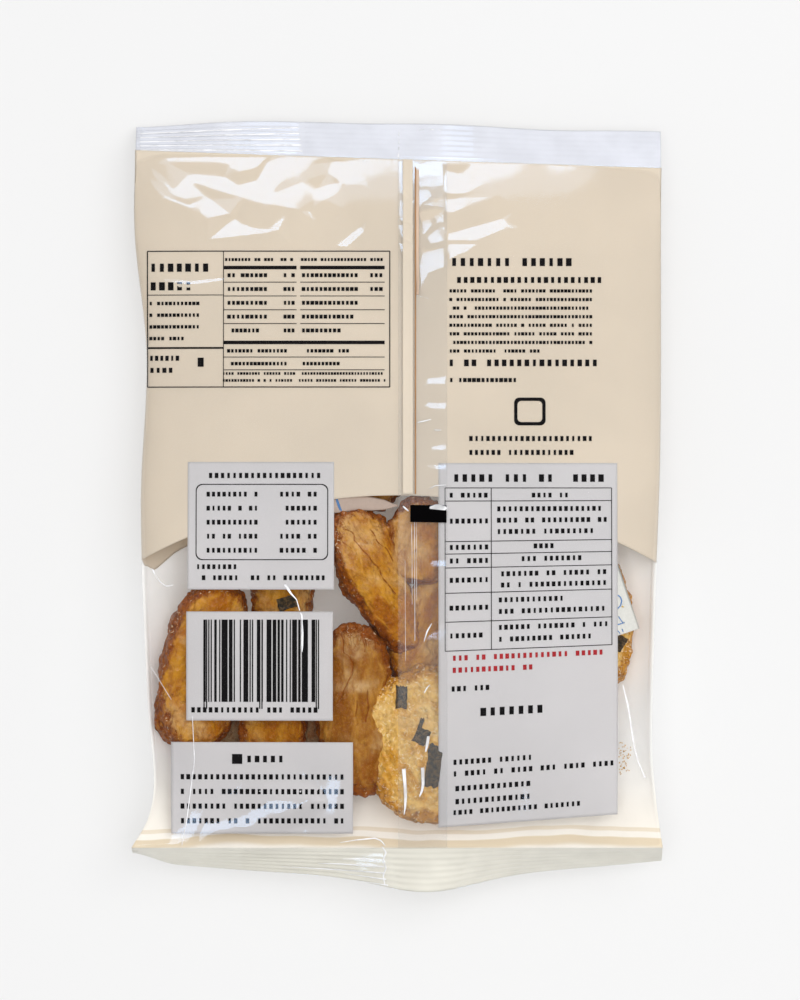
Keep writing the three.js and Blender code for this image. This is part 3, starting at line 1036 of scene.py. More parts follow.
def marks_tree():
    """A row of small upright blocks of uneven width, with some left out."""
    t = Tree("Row of marks", (
        ("Count", "NodeSocketInt", 10), ("Pitch", "NodeSocketFloat", 2 * MM),
        ("Height", "NodeSocketFloat", 1.5 * MM), ("Fill", "NodeSocketFloat", 0.8),
        ("Least", "NodeSocketFloat", 0.7), ("Kept", "NodeSocketFloat", 0.9),
        ("Steps", "NodeSocketInt", 2), ("Seed", "NodeSocketInt", 1), MATERIAL_INPUT,
    ))
    g = t.given
    line = t.add(
        "GeometryNodeMeshLine", {"mode": "OFFSET"}, Count=g["Count"],
        Start_Location=t.vector(t.maths("MULTIPLY", g["Pitch"], 0.5)), Offset=t.vector(g["Pitch"]),
    )
    block = t.add(
        "GeometryNodeMeshGrid", None, Size_X=t.maths("MULTIPLY", g["Pitch"], g["Fill"]),
        Size_Y=g["Height"], Vertices_X=2, Vertices_Y=g["Steps"],
    )
    size = t.vector(t.random(g["Least"], 1.0, g["Seed"]), 1.0, 1.0)
    placed = t.add(
        "GeometryNodeInstanceOnPoints", None, Points=line.outputs[0], Instance=block.outputs[0],
        Selection=t.chance(g["Kept"], t.maths("ADD", g["Seed"], 3)), Scale=size,
    )
    return t.finish(placed.outputs[0])


def rules_tree():
    """Straight thin rules, side by side at an even step."""
    t = Tree("Rules", (
        ("Count", "NodeSocketInt", 1), ("Length", "NodeSocketFloat", 10 * MM),
        ("Weight", "NodeSocketFloat", 0.3 * MM), ("Step", "NodeSocketFloat", 3 * MM),
        ("Parts", "NodeSocketInt", 20), MATERIAL_INPUT,
    ))
    g = t.given
    line = t.add(
        "GeometryNodeMeshLine", {"mode": "OFFSET"}, Count=g["Count"], Offset=t.vector(0.0, g["Step"]),
        Start_Location=t.vector(t.maths("MULTIPLY", g["Length"], 0.5)),
    )
    rule = t.add(
        "GeometryNodeMeshGrid", None, Size_X=g["Length"], Size_Y=g["Weight"],
        Vertices_X=g["Parts"], Vertices_Y=2,
    )
    placed = t.add("GeometryNodeInstanceOnPoints", None, Points=line.outputs[0], Instance=rule.outputs[0])
    return t.finish(placed.outputs[0])


def crumbs_tree():
    """Loose crumbs: uneven little lumps strewn over a patch."""
    t = Tree("Strewn crumbs", (
        ("Count", "NodeSocketInt", 40), ("Wide", "NodeSocketFloat", 4 * MM),
        ("Long", "NodeSocketFloat", 8 * MM), ("Size", "NodeSocketFloat", 0.5 * MM),
        ("Seed", "NodeSocketInt", 5), MATERIAL_INPUT,
    ))
    g = t.given
    line = t.add("GeometryNodeMeshLine", {"mode": "OFFSET"}, Count=g["Count"], Offset=(0, 0, 0))

    def spread(width, step):
        half = t.maths("MULTIPLY", width, 0.5)
        return t.random(t.maths("MULTIPLY", half, -1.0), half, t.maths("ADD", g["Seed"], step))

    strewn = t.add(
        "GeometryNodeSetPosition", None, Geometry=line.outputs[0],
        Position=t.vector(spread(g["Wide"], 1), spread(g["Long"], 2)),
    )
    lump = t.add("GeometryNodeMeshIcoSphere", None, Radius=g["Size"], Subdivisions=2)
    turn = t.vector(t.random(0.0, 6.28, 11), t.random(0.0, 6.28, 12), t.random(0.0, 6.28, 13))
    size = t.vector(t.random(0.4, 1.1, 14), t.random(0.3, 0.9, 15), t.random(0.3, 0.6, 16))
    placed = t.add(
        "GeometryNodeInstanceOnPoints", None, Points=strewn.outputs[0], Instance=lump.outputs[0],
        Rotation=turn, Scale=size,
    )
    return t.finish(placed.outputs[0])


# ---------------------------------------------------------------- printed layout

# Depths under the back film.
INK_DEPTH, PANEL_DEPTH, FIELD_DEPTH = 0.07, 0.13, 0.2
PRINT_THICK = 0.03

# The cream field ends below in an arc: its highest point and radius.
ARCH_TOP, ARCH_RADIUS = 3.1, 149.0
# The front's field ends lower than the back's: x and how much.
FRONT_LOWER = (
    (-72, 0.5), (-69, 2.4), (-66.8, 4.8), (-63.5, 3.6), (-61.3, 2.7), (-57.7, 2.3), (-40, 2), (0, 0), (75, 0),
)

# Grey panels: name, left, right, bottom, top.
PANELS = (
    ("panel_facts", -57.2, -17.2, -22.6, 12.2),
    ("panel_bars", -57.5, -17.5, -58.3, -28.6),
    ("panel_note", -61.7, -12.0, -89.3, -64.2),
    ("panel_details", 11.3, 60.2, -87.7, 11.9),
)
TILTED_PANEL_LEFT = 11.0
TILT_TOP, TILT_LENGTH, TILT_SLOPE = 5.0, 85.0, 0.075

# Rows of marks: left, right, first row's middle, step down, rows, height, share of the last row.
TEXT_ROWS = (
    (-68.0, -51.2, 65.4, 5.1, 2, 3.6, 0.72),
    (-68.0, -54.0, 55.6, 3.2, 4, 1.5, 0.7),
    (-68.0, -59.4, 40.6, 3.3, 2, 2.2, 0.8),
    (-58.3, -52.2, 39.5, 1.0, 1, 4.0, 1.0),
    (-47.2, -28.4, 67.6, 1.0, 1, 1.3, 1.0),
    (-26.4, -3.8, 67.6, 1.0, 1, 1.3, 1.0),
    (-46.6, -35.4, 63.3, 3.78, 5, 1.7, 0.8),
    (-31.2, -27.9, 63.3, 3.78, 5, 1.7, 1.0),
    (-26.2, -10.6, 63.3, 3.78, 5, 1.7, 0.7),
    (-7.6, -3.8, 63.3, 3.78, 2, 1.7, 1.0),
    (-46.6, -30.0, 42.6, 3.5, 2, 1.5, 1.0),
    (-26.0, -13.0, 42.6, 3.5, 2, 1.5, 0.8),
    (-47.8, -3.0, 36.4, 1.9, 2, 1.15, 1.0),
    (14.4, 48.2, 66.9, 1.0, 1, 3.5, 1.0),
    (14.2, 56.3, 62.0, 1.0, 1, 2.6, 1.0),
    (14.2, 53.5, 59.0, 2.35, 8, 1.4, 0.66),
    (13.8, 57.2, 39.3, 1.0, 1, 2.9, 1.0),
    (14.2, 32.8, 34.6, 1.0, 1, 1.8, 1.0),
    (19.4, 53.6, 18.6, 3.8, 2, 2.2, 0.85),
    (-53.4, -20.6, 8.5, 1.0, 1, 2.3, 1.0),
    (-52.3, -37.8, 3.4, 3.83, 5, 2.1, 1.0),
    (-32.3, -21.6, 3.4, 3.83, 5, 2.1, 1.0),
    (-55.0, -43.5, -16.4, 1.0, 1, 2.1, 1.0),
    (-55.0, -19.4, -19.4, 1.0, 1, 2.1, 1.0),
    (-56.4, -21.4, -55.4, 1.0, 1, 2.3, 1.0),
    (-41.4, -30.6, -68.8, 1.0, 1, 2.9, 1.0),
    (-59.4, -14.2, -73.7, 4.03, 4, 2.3, 1.0),
    (15.0, 56.9, 7.8, 1.0, 1, 3.3, 1.0),
    (14.0, 25.0, 3.1, 1.0, 1, 2.1, 1.0),
    (14.0, 25.2, -4.0, 1.0, 1, 2.2, 1.0),
    (14.0, 25.2, -11.2, 3.7, 2, 2.2, 1.0),
    (14.0, 25.2, -20.2, 7.6, 3, 2.2, 1.0),
    (35.0, 47.0, 3.1, 1.0, 1, 2.1, 1.0),
    (27.0, 57.6, -0.7, 3.15, 3, 2.2, 0.88),
    (37.0, 43.0, -11.1, 1.0, 1, 2.2, 1.0),
    (33.6, 50.6, -14.6, 1.0, 1, 2.2, 1.0),
    (28.0, 57.4, -18.7, 3.1, 2, 2.2, 1.0),
    (27.4, 45.6, -25.9, 1.0, 1, 2.2, 1.0),
    (27.4, 57.0, -29.1, 1.0, 1, 2.2, 1.0),
    (27.4, 57.8, -33.5, 3.3, 2, 2.2, 0.85),
    (14.5, 25.4, -49.9, 1.0, 1, 2.3, 1.0),
    (22.2, 40.2, -56.6, 1.0, 1, 3.6, 1.0),
    (15.0, 37.0, -70.0, 1.0, 1, 2.3, 1.0),
    (15.0, 59.4, -73.2, 1.0, 1, 2.3, 1.0),
    (15.6, 36.6, -77.3, 3.6, 2, 2.3, 1.0),
    (15.0, 51.7, -83.9, 1.0, 1, 2.1, 1.0),
)
RED_ROWS = ((14.8, 58.0, -41.5, 1.0, 1, 2.3, 1.0), (14.8, 37.2, -44.8, 1.0, 1, 2.3, 1.0))

# Rules: left, right, first rule's middle, step down, rules, weight.
RULES = (
    (-68.4, -2.0, 69.9, 37.2, 2, 0.28),
    (-47.5, -27.5, 65.4, 1.0, 1, 0.95),
    (-26.5, -3.4, 65.4, 1.0, 1, 0.95),
    (-47.5, -27.5, 61.4, 3.78, 4, 0.2),
    (-26.5, -3.4, 61.4, 3.78, 4, 0.2),
    (-47.5, -3.4, 44.9, 1.0, 1, 0.95),
    (-47.5, -3.4, 40.9, 3.5, 2, 0.2),
    (-68.4, -47.5, 57.9, 1.0, 1, 0.2),
    (-68.4, -47.5, 43.4, 1.0, 1, 0.5),
    (13.1, 58.6, 5.1, 3.6, 2, 0.22),
    (13.1, 58.6, -9.6, 3.4, 2, 0.22),
    (13.1, 58.6, -16.8, 6.9, 2, 0.22),
    (13.1, 58.6, -31.6, 7.9, 2, 0.22),
    (-45.0, -42.2, -68.8, 1.0, 1, 2.7),
)
# Upright rules: x, bottom, top, weight.
UPRIGHT_RULES = (
    (-68.4, 32.7, 69.9, 0.28), (-2.0, 32.7, 69.9, 0.28), (-47.5, 32.7, 69.9, 0.2),
    (13.1, -39.5, 5.1, 0.22), (58.6, -39.5, 5.1, 0.22), (25.7, -39.5, 5.1, 0.22),
    (-52.6, -55.1, -30.8, 0.33), (-51.9, -55.1, -30.8, 0.33), (-37.4, -55.1, -30.8, 0.33),
    (-36.8, -55.1, -30.8, 0.33), (-22.0, -55.1, -30.8, 0.33), (-21.4, -55.1, -30.8, 0.33),
)
# Rings with rounded corners: middle x, y, half width, half height, corner, weight.
RINGS = ((-36.9, -4.2, 18.1, 10.4, 1.8, 0.25), (36.3, 26.0, 4.3, 3.8, 1.4, 0.9))
BARS = {"left": -52.8, "right": -21.3, "bottom": -53.2, "top": -30.8, "modules": 95}
EYE_MARK = {"left": 3.6, "right": 13.9, "bottom": -4.3, "top": 0.4}


def on_print(x, y):
    """The printed page is drawn level, and the pull of the film tilts the lower right of it."""
    slope = TILT_SLOPE * np.clip((TILT_TOP - y) / TILT_LENGTH, 0, 1)
    pulled = np.where(x > TILTED_PANEL_LEFT, slope * (x - TILTED_PANEL_LEFT), 0.0)
    return x, y + pulled


def draped(points, depth):
    """Flat printed points laid against the underside of the back film."""
    x, y = on_print(points[:, 0], points[:, 1])
    return np.stack((x, y + SHIFT_Y, back_height(x, y + SHIFT_Y) - depth), -1)


def join_shapes(shapes):
    """Several (points, faces) as one."""
    points, faces, start = [], [], 0
    for shape_points, shape_faces in shapes:
        points.append(shape_points)
        faces += [[corner + start for corner in face] for face in shape_faces]
        start += len(shape_points)
    return np.concatenate(points), faces


def moved(shape, x, y):
    points, faces = shape
    return points + (x, y, 0), faces


def text_shapes(tree, rows, seed):
    """Each line of print as a row of plain blocks."""
    shapes = []
    for left, right, first, step, count, height, last in rows:
        for k in range(count):
            seed += 1
            width = (right - left) * (last if k == count - 1 and count > 1 else 1.0)
            marks = max(2, round(width / (height * 0.7)))
            shape = tree.grow(
                Count=marks, Pitch=width / marks * MM, Height=height * MM * 0.62, Least=0.55,
                Fill=0.88 if height < 1.9 else 0.66, Kept=0.9, Seed=seed,
            )
            shapes.append(moved(shape, left, first - k * step))
    return shapes


def rule_shapes(tree):
    shapes = []
    for left, right, first, step, count, weight in RULES:
        parts = max(2, round((right - left) / 1.5))
        shape = tree.grow(
            Count=count, Length=(right - left) * MM, Weight=weight * MM, Step=-step * MM, Parts=parts,
        )
        shapes.append(moved(shape, left, first))
    for x, bottom, top, weight in UPRIGHT_RULES:
        parts = max(2, round((top - bottom) / 1.5))
        points, faces = tree.grow(Count=1, Length=(top - bottom) * MM, Weight=weight * MM, Parts=parts)
        upright = np.stack((-points[:, 1], points[:, 0], points[:, 2]), -1)
        shapes.append(moved((upright, faces), x, bottom))
    return shapes


def bar_shapes(tree):
    """Upright bars of uneven width, from modules that are inked or left out at random."""
    width = (BARS["right"] - BARS["left"]) / BARS["modules"]
    height = BARS["top"] - BARS["bottom"]
    points, faces = tree.grow(
        Count=BARS["modules"], Pitch=width * MM, Height=height * MM, Fill=1.02, Least=1.0, Kept=0.58,
        Steps=24, Seed=41,
    )
    return [moved((points, faces), BARS["left"], (BARS["top"] + BARS["bottom"]) / 2)]


def ring_shapes():
    shapes = []
    for x, y, half_x, half_y, corner, weight in RINGS:
        outline = []
        for quarter, (sx, sy) in enumerate(((1, 1), (-1, 1), (-1, -1), (1, -1))):
            turn = np.radians(np.linspace(0, 90, 7) + quarter * 90)
            centre = (sx * (half_x - corner), sy * (half_y - corner))
            arc = [(centre[0] + corner * math.cos(a), centre[1] + corner * math.sin(a)) for a in turn]
            outline += arc
        loop = np.array(outline)
        steps = 6
        fine = np.concatenate([
            mix(loop[i], loop[(i + 1) % len(loop)], np.linspace(0, 1, steps, endpoint=False)[:, None])
            for i in range(len(loop))
        ])
        inner = fine * (1 - weight / np.array((half_x, half_y)))
        count = len(fine)
        points = np.concatenate((fine, inner))
        points = np.column_stack((points, np.zeros(len(points)))) + (x, y, 0)
        faces = [[i, (i + 1) % count, count + (i + 1) % count, count + i] for i in range(count)]
        shapes.append((points, faces))
    return shapes


# ---------------------------------------------------------------- pieces


# The folded part below the top seal takes this share of the rows.
FINE_REACH, FINE_SHARE = 40.0, 0.42


def film_rows(body_rows, rib_steps):
    """Rows of the whole bag, from the bottom cut edge to the top one: seal or None, and position."""
    shares = np.linspace(0, 1, RIBS * rib_steps + 1)
    rows = [(BOTTOM_SEAL, s) for s in shares[:0:-1]]
    fine_from = BODY_LENGTH - FINE_REACH
    coarse = round(body_rows * (1 - FINE_SHARE))
    rows += [(None, s) for s in np.linspace(0, fine_from, coarse, endpoint=False)]
    rows += [(None, s) for s in np.linspace(fine_from, BODY_LENGTH, body_rows - coarse)]
    rows += [(TOP_SEAL, s) for s in shares[1:]]
    return rows


def across_places(count, drawn=0.5):
    even = np.linspace(-1, 1, count)
    return mix(even, np.sin(even * math.pi / 2), drawn)


def film_grid(u, rows, side):
    """Points of the film's back (side 1) or front (side -1) at places across and rows along."""
    lines = []
    for seal, position in rows:
        if seal:
            lines.append(seal_point(u, np.full_like(u, position), seal, side))
        else:
            surface = back_point if side > 0 else belly_point
            lines.append(surface(u, np.full_like(u, position)))
    return np.array(lines)


def make_film(material):
    """The clear film as one closed skin, fine on the back and coarser on the belly."""
    rows = film_rows(204, 5)
    back = film_grid(across_places(286, 0.3), rows, 1)
    belly = film_grid(across_places(30), rows, -1)[:, 1:-1]
    count, wide, narrow = len(rows), back.shape[1], belly.shape[1]
    back_quads = grid_quads(count, wide)
    start = count * wide
    belly_quads = grid_quads(count, narrow, start)[:, ::-1]
    line = np.arange(count)
    left_back, right_back = line * wide, line * wide + wide - 1
    left_belly, right_belly = start + line * narrow, start + line * narrow + narrow - 1
    left = np.stack((left_back[1:], left_belly[1:], left_belly[:-1], left_back[:-1]), -1)
    right = np.stack((right_back[:-1], right_belly[:-1], right_belly[1:], right_back[1:]), -1)
    ends = []
    for j, flip in ((0, False), (count - 1, True)):
        loop = np.concatenate((j * wide + np.arange(wide), start + j * narrow + np.arange(narrow)[::-1]))
        ends.append(loop[::-1].tolist() if not flip else loop.tolist())
    faces = np.concatenate((back_quads, belly_quads, left, right)).tolist() + ends
    points = np.concatenate((back.reshape(-1, 3), belly.reshape(-1, 3)))
    mesh = bpy.data.meshes.new("film")
    mesh.from_pydata((points * MM).tolist(), [], faces)
    mesh.materials.append(material)
    soft = np.ones(len(mesh.polygons), bool)
    crimped = np.array([rows[j][0] is not None and rows[j + 1][0] is not None for j in range(count - 1)])
    soft[: len(back_quads)] = ~np.repeat(crimped, wide - 1)
    mesh.polygons.foreach_set("use_smooth", soft)
    piece = bpy.data.objects.new("film", mesh)
    bpy.context.scene.collection.objects.link(piece)
    return piece


def arch(x, lower=0.0):
    """Height along the bag of the cream field's arc."""
    y = ARCH_TOP - lower - (ARCH_RADIUS - np.sqrt(ARCH_RADIUS**2 - x**2))
    return along_at(x, y + SHIFT_Y)


def tube_grid(rows, back_count, belly_count):
    """The cream field all round the bag, from its arc to the top seal line."""
    back_u, belly_u = across_places(back_count), across_places(belly_count)[::-1][1:-1]
    reach = np.linspace(0, 1, rows)[:, None]
    middle = np.full_like(back_u, BODY_LENGTH / 2)
    start = arch(sideways(back_u, middle))
    back_along = mix(start, BODY_LENGTH, reach)
    front_x = sideways(belly_u, np.full_like(belly_u, BODY_LENGTH / 2))
    front = arch(front_x, np.interp(front_x, *np.array(FRONT_LOWER).T))
    belly_along = mix(front, BODY_LENGTH, reach)
    back = back_point(np.broadcast_to(back_u, back_along.shape), back_along)
    belly = belly_point(np.broadcast_to(belly_u, belly_along.shape), belly_along)
    return np.concatenate((back, belly), 1)


def make_cream_field(material):
    grid = inset(tube_grid(150, 230, 90), FIELD_DEPTH, closed=True)
    return sheet_of("cream_field", grid, PRINT_THICK, material, closed=True)


def make_lining(material):
    """The front film's pale inner side, below the cream field."""
    u = across_places(90) * 0.999
    x = sideways(u, np.full_like(u, BODY_LENGTH / 2))
    end = arch(x, np.interp(x, *np.array(FRONT_LOWER).T) - 0.5)
    along = mix(0.0, end, np.linspace(0, 1, 110)[:, None])
    wide = np.broadcast_to(u, along.shape)
    grid = belly_point(wide, along)
    grid[..., 2] = np.maximum(grid[..., 2], lining_rise(along, wide))
    return sheet_of("lining", inset(grid[:, ::-1], 0.15), PRINT_THICK, material)


def make_seal_web(name, seal, material):
    u = across_places(160) * 0.998
    shares = np.linspace(0.0, 0.995, RIBS * 5 + 1)
    order = shares[::-1] if seal is BOTTOM_SEAL else shares
    grid = np.array([seal_point(u, np.full_like(u, s), seal, 0) for s in order])
    return sheet_of(name, grid, 0.06, material)


def make_panel(name, left, right, bottom, top, material):
    x, y = np.meshgrid(np.linspace(left, right, 60), np.linspace(bottom, top, round((top - bottom) / 0.8)))
    points = draped(np.stack((x.ravel(), y.ravel(), x.ravel() * 0), -1), PANEL_DEPTH)
    return sheet_of(name, points.reshape(*x.shape, 3), PRINT_THICK, material)


def flat_print(name, shapes, material):
    """Printed shapes draped under the film, with a little thickness."""
    points, faces = join_shapes(shapes)
    top = draped(points, INK_DEPTH)
    piece = new_piece(name, top, faces, material, smooth=False)
    thick = piece.modifiers.new("Thickness", "SOLIDIFY")
    thick.thickness = PRINT_THICK * MM
    thick.offset = -1
    return baked(piece)


def baked(piece):
    """Applies what modifiers a piece has, so that its mesh is final."""
    graph = bpy.context.evaluated_depsgraph_get()
    mesh = bpy.data.meshes.new_from_object(piece.evaluated_get(graph))
    piece.modifiers.clear()
    old = piece.data
    piece.data = mesh
    bpy.data.meshes.remove(old)
    mesh.name = piece.name
    return piece


def fin_grid(w, rows, lift):
    """The folded seam's strip: w from 0 at its fold to 1 at its free edge."""
    lines = []
    for seal, position in rows:
        x = FIN_LEFT + FIN_WIDTH * w
        if seal:
            base = seal_point(x / (SEAL_WIDTH / 2), np.full_like(w, position), seal, 1)
            rise_by = 0.25
        else:
            along = np.full_like(w, position)
            base = back_point(across_at(x, along), along)
            rise_by = lift(w, base[..., 1], position)
        lines.append(base + np.stack((np.zeros_like(w), np.zeros_like(w), np.full_like(w, 1) * rise_by), -1))
    return np.array(lines)


def fin_lift(w, y, position):
    """The seam lies flat but for a soft fold at the left and its folded facets."""
    x = FIN_LEFT + FIN_WIDTH * w
    y = y - SHIFT_Y
    near_seal = float(ease(0, 8, min(position, BODY_LENGTH - position)))
    fold = 0.12 * bell((w - 0.06) / 0.09)
    return 0.25 + near_seal * (fold + 0.15) + sum(folded(x, y, table) for table in SEAM_FOLDS)


# Lines along the seam's fold: name, left, right, bottom, top and colour.
SEAM_LINES = (
    ("Fold line", 4.85, 5.2, 3.4, 93.0, (196, 150, 104)),
    ("Fold shade", 5.2, 6.0, 58.0, 92.5, (238, 214, 192)),
)


# Rice crackers: name, middle x, y, gap under the film, length, width, thickness, heading,
# lean along and across in degrees, taper, crust, seed and cells.
CRACKERS = (
    ("cracker_long", -5.4, -21.3, 1.4, 45, 17.5, 13, -66, 3, -20, 0.36, "glazed", 11, 96),
    ("cracker_oval", -11.9, -55.8, 2.4, 48.5, 20.5, 13, 92, 0, -4, -0.04, "matt", 23, 96),
    ("cracker_bright", 7.4, -65.6, 0.3, 44, 34.5, 14, 112, 0, 2, -0.07, "wet", 37, 90),
    ("cracker_puffy", 5.9, -9.4, 1.6, 23.5, 18, 12, 84, 0, 0, 0.0, "glazed", 44, 60),
    ("cracker_left", -52.5, -43.4, 2.2, 49, 24.5, 14, 79, 0, 8, 0.02, "glazed", 53, 72),
    ("cracker_corner", -56.2, -51.7, 3.4, 28.5, 19.5, 13, 84, 0, 6, 0.1, "glazed", 67, 60),
    ("cracker_low", -33.8, -58.0, 4.2, 42, 18.5, 13, 88, 0, 0, 0.0, "glazed", 71, 60),
    ("cracker_behind", -30.8, -18.8, 4.4, 41, 18.8, 13, 88, 0, 0, -0.1, "glazed", 83, 60),
    ("cracker_right", 51.2, -31.6, 4.6, 38.5, 24, 12, 92, 0, 6, 0.05, "wet", 97, 60),
    ("cracker_top", -6.5, 13.6, 3.4, 30, 24, 12, 80, 0, 0, 0.0, "glazed", 151, 40),
    ("cracker_seam", 12.2, -31.8, 6.2, 42, 21, 12, 64, 0, 0, 0.0, "glazed", 101, 48),
    # The next two lie deep under the others and wear the darkened crust: painted shade for the dark gaps
    # between crackers.
    ("cracker_deep", -43.5, -57.5, 12.0, 30, 24, 10, 84, 0, 0, 0.0, "shade_darkened", 131, 32),
    ("cracker_deeper", -22.5, -60.5, 12.0, 26, 22, 10, 90, 0, 0, 0.0, "shade_darkened", 137, 32),
)
# Deep cracks in the crackers' tops, as x and y along each.
CRACKS = (
    ((-15, -34.6), (-14.2, -36.8), (-14.5, -40), (-12.9, -41.2), (-12.3, -42.8), (-12.8, -45.9),
    (-13.8, -49.1), (-14.7, -51.5), (-16.4, -53.6), (-18.3, -55.1)),
    ((-8.1, -50.2), (-7.9, -54), (-8.4, -58.4)),
    ((-9.2, -36.5), (-9, -39.8)),
    ((-10.9, -52.9), (-11.5, -57.3)),
    ((-14, -6.2), (-11.6, -8.6), (-8.9, -12), (-5.8, -16.3), (-4, -19.6), (-2.7, -21.5), (-0.3, -23.9)),
    ((-14.8, -9.4), (-12.3, -11.6)),
    ((-7.4, -6.4), (-3.6, -11.1), (-1.6, -15.2)),
)


def crack_depth(x, y):
    """1 in the middle of a crack, 0 beside it."""
    place = np.stack((x, y, np.zeros_like(x)), -1)
    x, y = x + 0.5 * Grain(5).at(place, 2.4), y + 0.5 * Grain(6).at(place, 2.4)
    nearest = np.full(x.shape, 9.0)
    for line in CRACKS:
        for (ax, ay), (bx, by) in zip(line, line[1:]):
            dx, dy = bx - ax, by - ay
            t = np.clip(((x - ax) * dx + (y - ay) * dy) / (dx * dx + dy * dy), 0, 1)
            nearest = np.minimum(nearest, np.hypot(x - ax - t * dx, y - ay - t * dy))
    return np.clip(1 - nearest / 0.42, 0, 1)


def cracker_shape(length, width, thick, taper, seed, cells):
    """An uneven puffed slab: its points, quads, how much each point belongs to the side, and grooves."""
    directions, quads = ball_grid(cells)
    draw = np.random.default_rng(seed)
    foot, edge = draw.uniform(2.2, 2.8), draw.uniform(2.6, 3.2)
    x, y, z = np.abs(directions).T
    plan = (x**foot + y**foot) ** (1 / foot)
    radius = (plan**edge + z**edge) ** (-1 / edge)
    half = np.array((length, width, thick)) / 2
    points = directions * radius[:, None] * half
    grain = Grain(seed)
    points[:, 1] *= 1 - taper * points[:, 0] / half[0]
    points[:, 1] += draw.uniform(-0.06, 0.06) * width * (points[:, 0] / half[0]) ** 2
    points[:, 2] += draw.uniform(-0.06, 0.1) * thick * (points[:, 0] / half[0]) ** 2
    lumps = 1.3 * grain.at(points, 13.0) + 0.75 * grain.at(points + 50, 6.0)
    lumps = lumps + 0.36 * grain.at(points + 90, 2.9)
    rough = 0.24 * grain.at(points + 130, 1.4)
    outward = directions * (1, 1, 0.75)
    steep = 1 - np.clip(np.abs(points[:, 2]) / (half[2] * 0.9), 0, 1) ** 3
    folds = 0.9 * np.abs(grain.at(points * (0.5, 1.4, 1.0) + 170, 5.0))
    fissure = np.abs(grain.at(points * (0.55, 1.0, 1.0) + 210, 11.0))
    groove = np.clip(1 - fissure / 0.03, 0, 1) * (1 - steep) * 0.6
    moved_by = lumps + rough * (1 + 1.5 * steep) - folds * (0.3 + 0.7 * steep) - 0.6 * groove
    points += outward * moved_by[:, None]
    side = ease(0.68, 0.97, plan * radius + 0.07 * grain.at(points + 250, 5.0))
    return points, quads, side, groove


def turned(points, heading, lean_along, lean_across):
    """Leans a shape about its own axes and then turns it to its heading."""
    a, b, c = np.radians((heading, lean_along, lean_across))
    across = np.array(((1, 0, 0), (0, math.cos(c), -math.sin(c)), (0, math.sin(c), math.cos(c))))
    along = np.array(((math.cos(b), 0, math.sin(b)), (0, 1, 0), (-math.sin(b), 0, math.cos(b))))
    around = np.array(((math.cos(a), -math.sin(a), 0), (math.sin(a), math.cos(a), 0), (0, 0, 1)))
    return points @ (around @ along @ across).T


def keep_inside(points, clear=0.35):
    """Presses a shape flat where it would meet the film above or the lining below."""
    x, y, z = points.T
    ceiling = back_height(x, y) - clear
    ground = lining_height(x, y) + clear
    return np.stack((x, y, np.clip(z, ground, np.maximum(ceiling, ground + 0.5))), -1)


def make_cracker(spec, materials):
    name, x, y, gap, length, width, thick, heading, lean_along, lean_across, taper, crust, seed, cells = spec
    points, quads, side, groove = cracker_shape(length, width, thick, taper, seed, cells)
    placed = turned(points, heading, lean_along, lean_across)
    middle = float(back_height(np.array(x), np.array(y + SHIFT_Y))) - gap - thick / 2 - 0.8
    placed = placed + (x, y + SHIFT_Y, middle)
    on_top = placed[:, 2] > middle
    crack = np.where(on_top, crack_depth(placed[:, 0], placed[:, 1] - SHIFT_Y), 0.0)
    placed[:, 2] -= 0.4 * crack
    placed = keep_inside(placed)
    piece = new_piece(name, placed, quads, materials[crust])
    for label, values in (("side", side), ("hollow", np.maximum(groove, crack))):
        layer = piece.data.attributes.new(label, "FLOAT", "POINT")
        layer.data.foreach_set("value", values.astype(np.float32))
    own = (points + seed * 10) * MM
    layer = piece.data.attributes.new("own", "FLOAT_VECTOR", "POINT")
    layer.data.foreach_set("vector", own.astype(np.float32).ravel())
    return piece


# Seaweed flakes: x, y, length, width, heading.
FLAKES = (
    (1.2, -52.0, 6.2, 3.0, 88), (6.7, -62.6, 4.4, 3.6, 62), (10.0, -70.6, 11.4, 3.8, 83),
    (-30.0, -26.3, 5.2, 3.6, 18), (60.6, -37.2, 4.2, 3.4, 60), (6.4, -59.6, 4.0, 1.1, 72),
)


def make_flakes(material, crackers):
    """Flakes of seaweed that lie on the crackers under them."""
    trees = surfaces(*crackers)
    shapes, grain = [], Grain(7)
    for x, y, length, width, heading in FLAKES:
        a, b = np.meshgrid(np.linspace(-1, 1, 14), np.linspace(-1, 1, 9))
        ragged = 1 + 0.16 * grain.at(np.stack((a * 3, b * 3, a * 0 + x), -1), 0.9)
        local = np.stack((a * ragged * length / 2, b * ragged * width / 2, a * 0), -1).reshape(-1, 3)
        points = turned(local, heading, 0, 0) + (x, y + SHIFT_Y, 0)
        for point in points:
            start = Vector((point[0] * MM, point[1] * MM, 0.06))
            hits = [tree.ray_cast(start, Vector((0, 0, -1)))[0] for tree in trees]
            tops = [hit.z / MM for hit in hits if hit]
            point[2] = max(tops) + 0.1 if tops else np.nan
        points[:, 2] = np.where(np.isnan(points[:, 2]), np.nanmin(points[:, 2]), points[:, 2])
        shapes.append((points, grid_quads(9, 14).tolist()))
    points, faces = join_shapes(shapes)
    piece = new_piece("seaweed_flakes", points, faces, material)
    thick = piece.modifiers.new("Thickness", "SOLIDIFY")
    thick.thickness = 0.18 * MM
    thick.offset = 1
    return baked(piece)


SACHET = {"x": 42.6, "y": -25.2, "length": 40.0, "width": 30.0, "heading": 18.5, "height": 25.5}
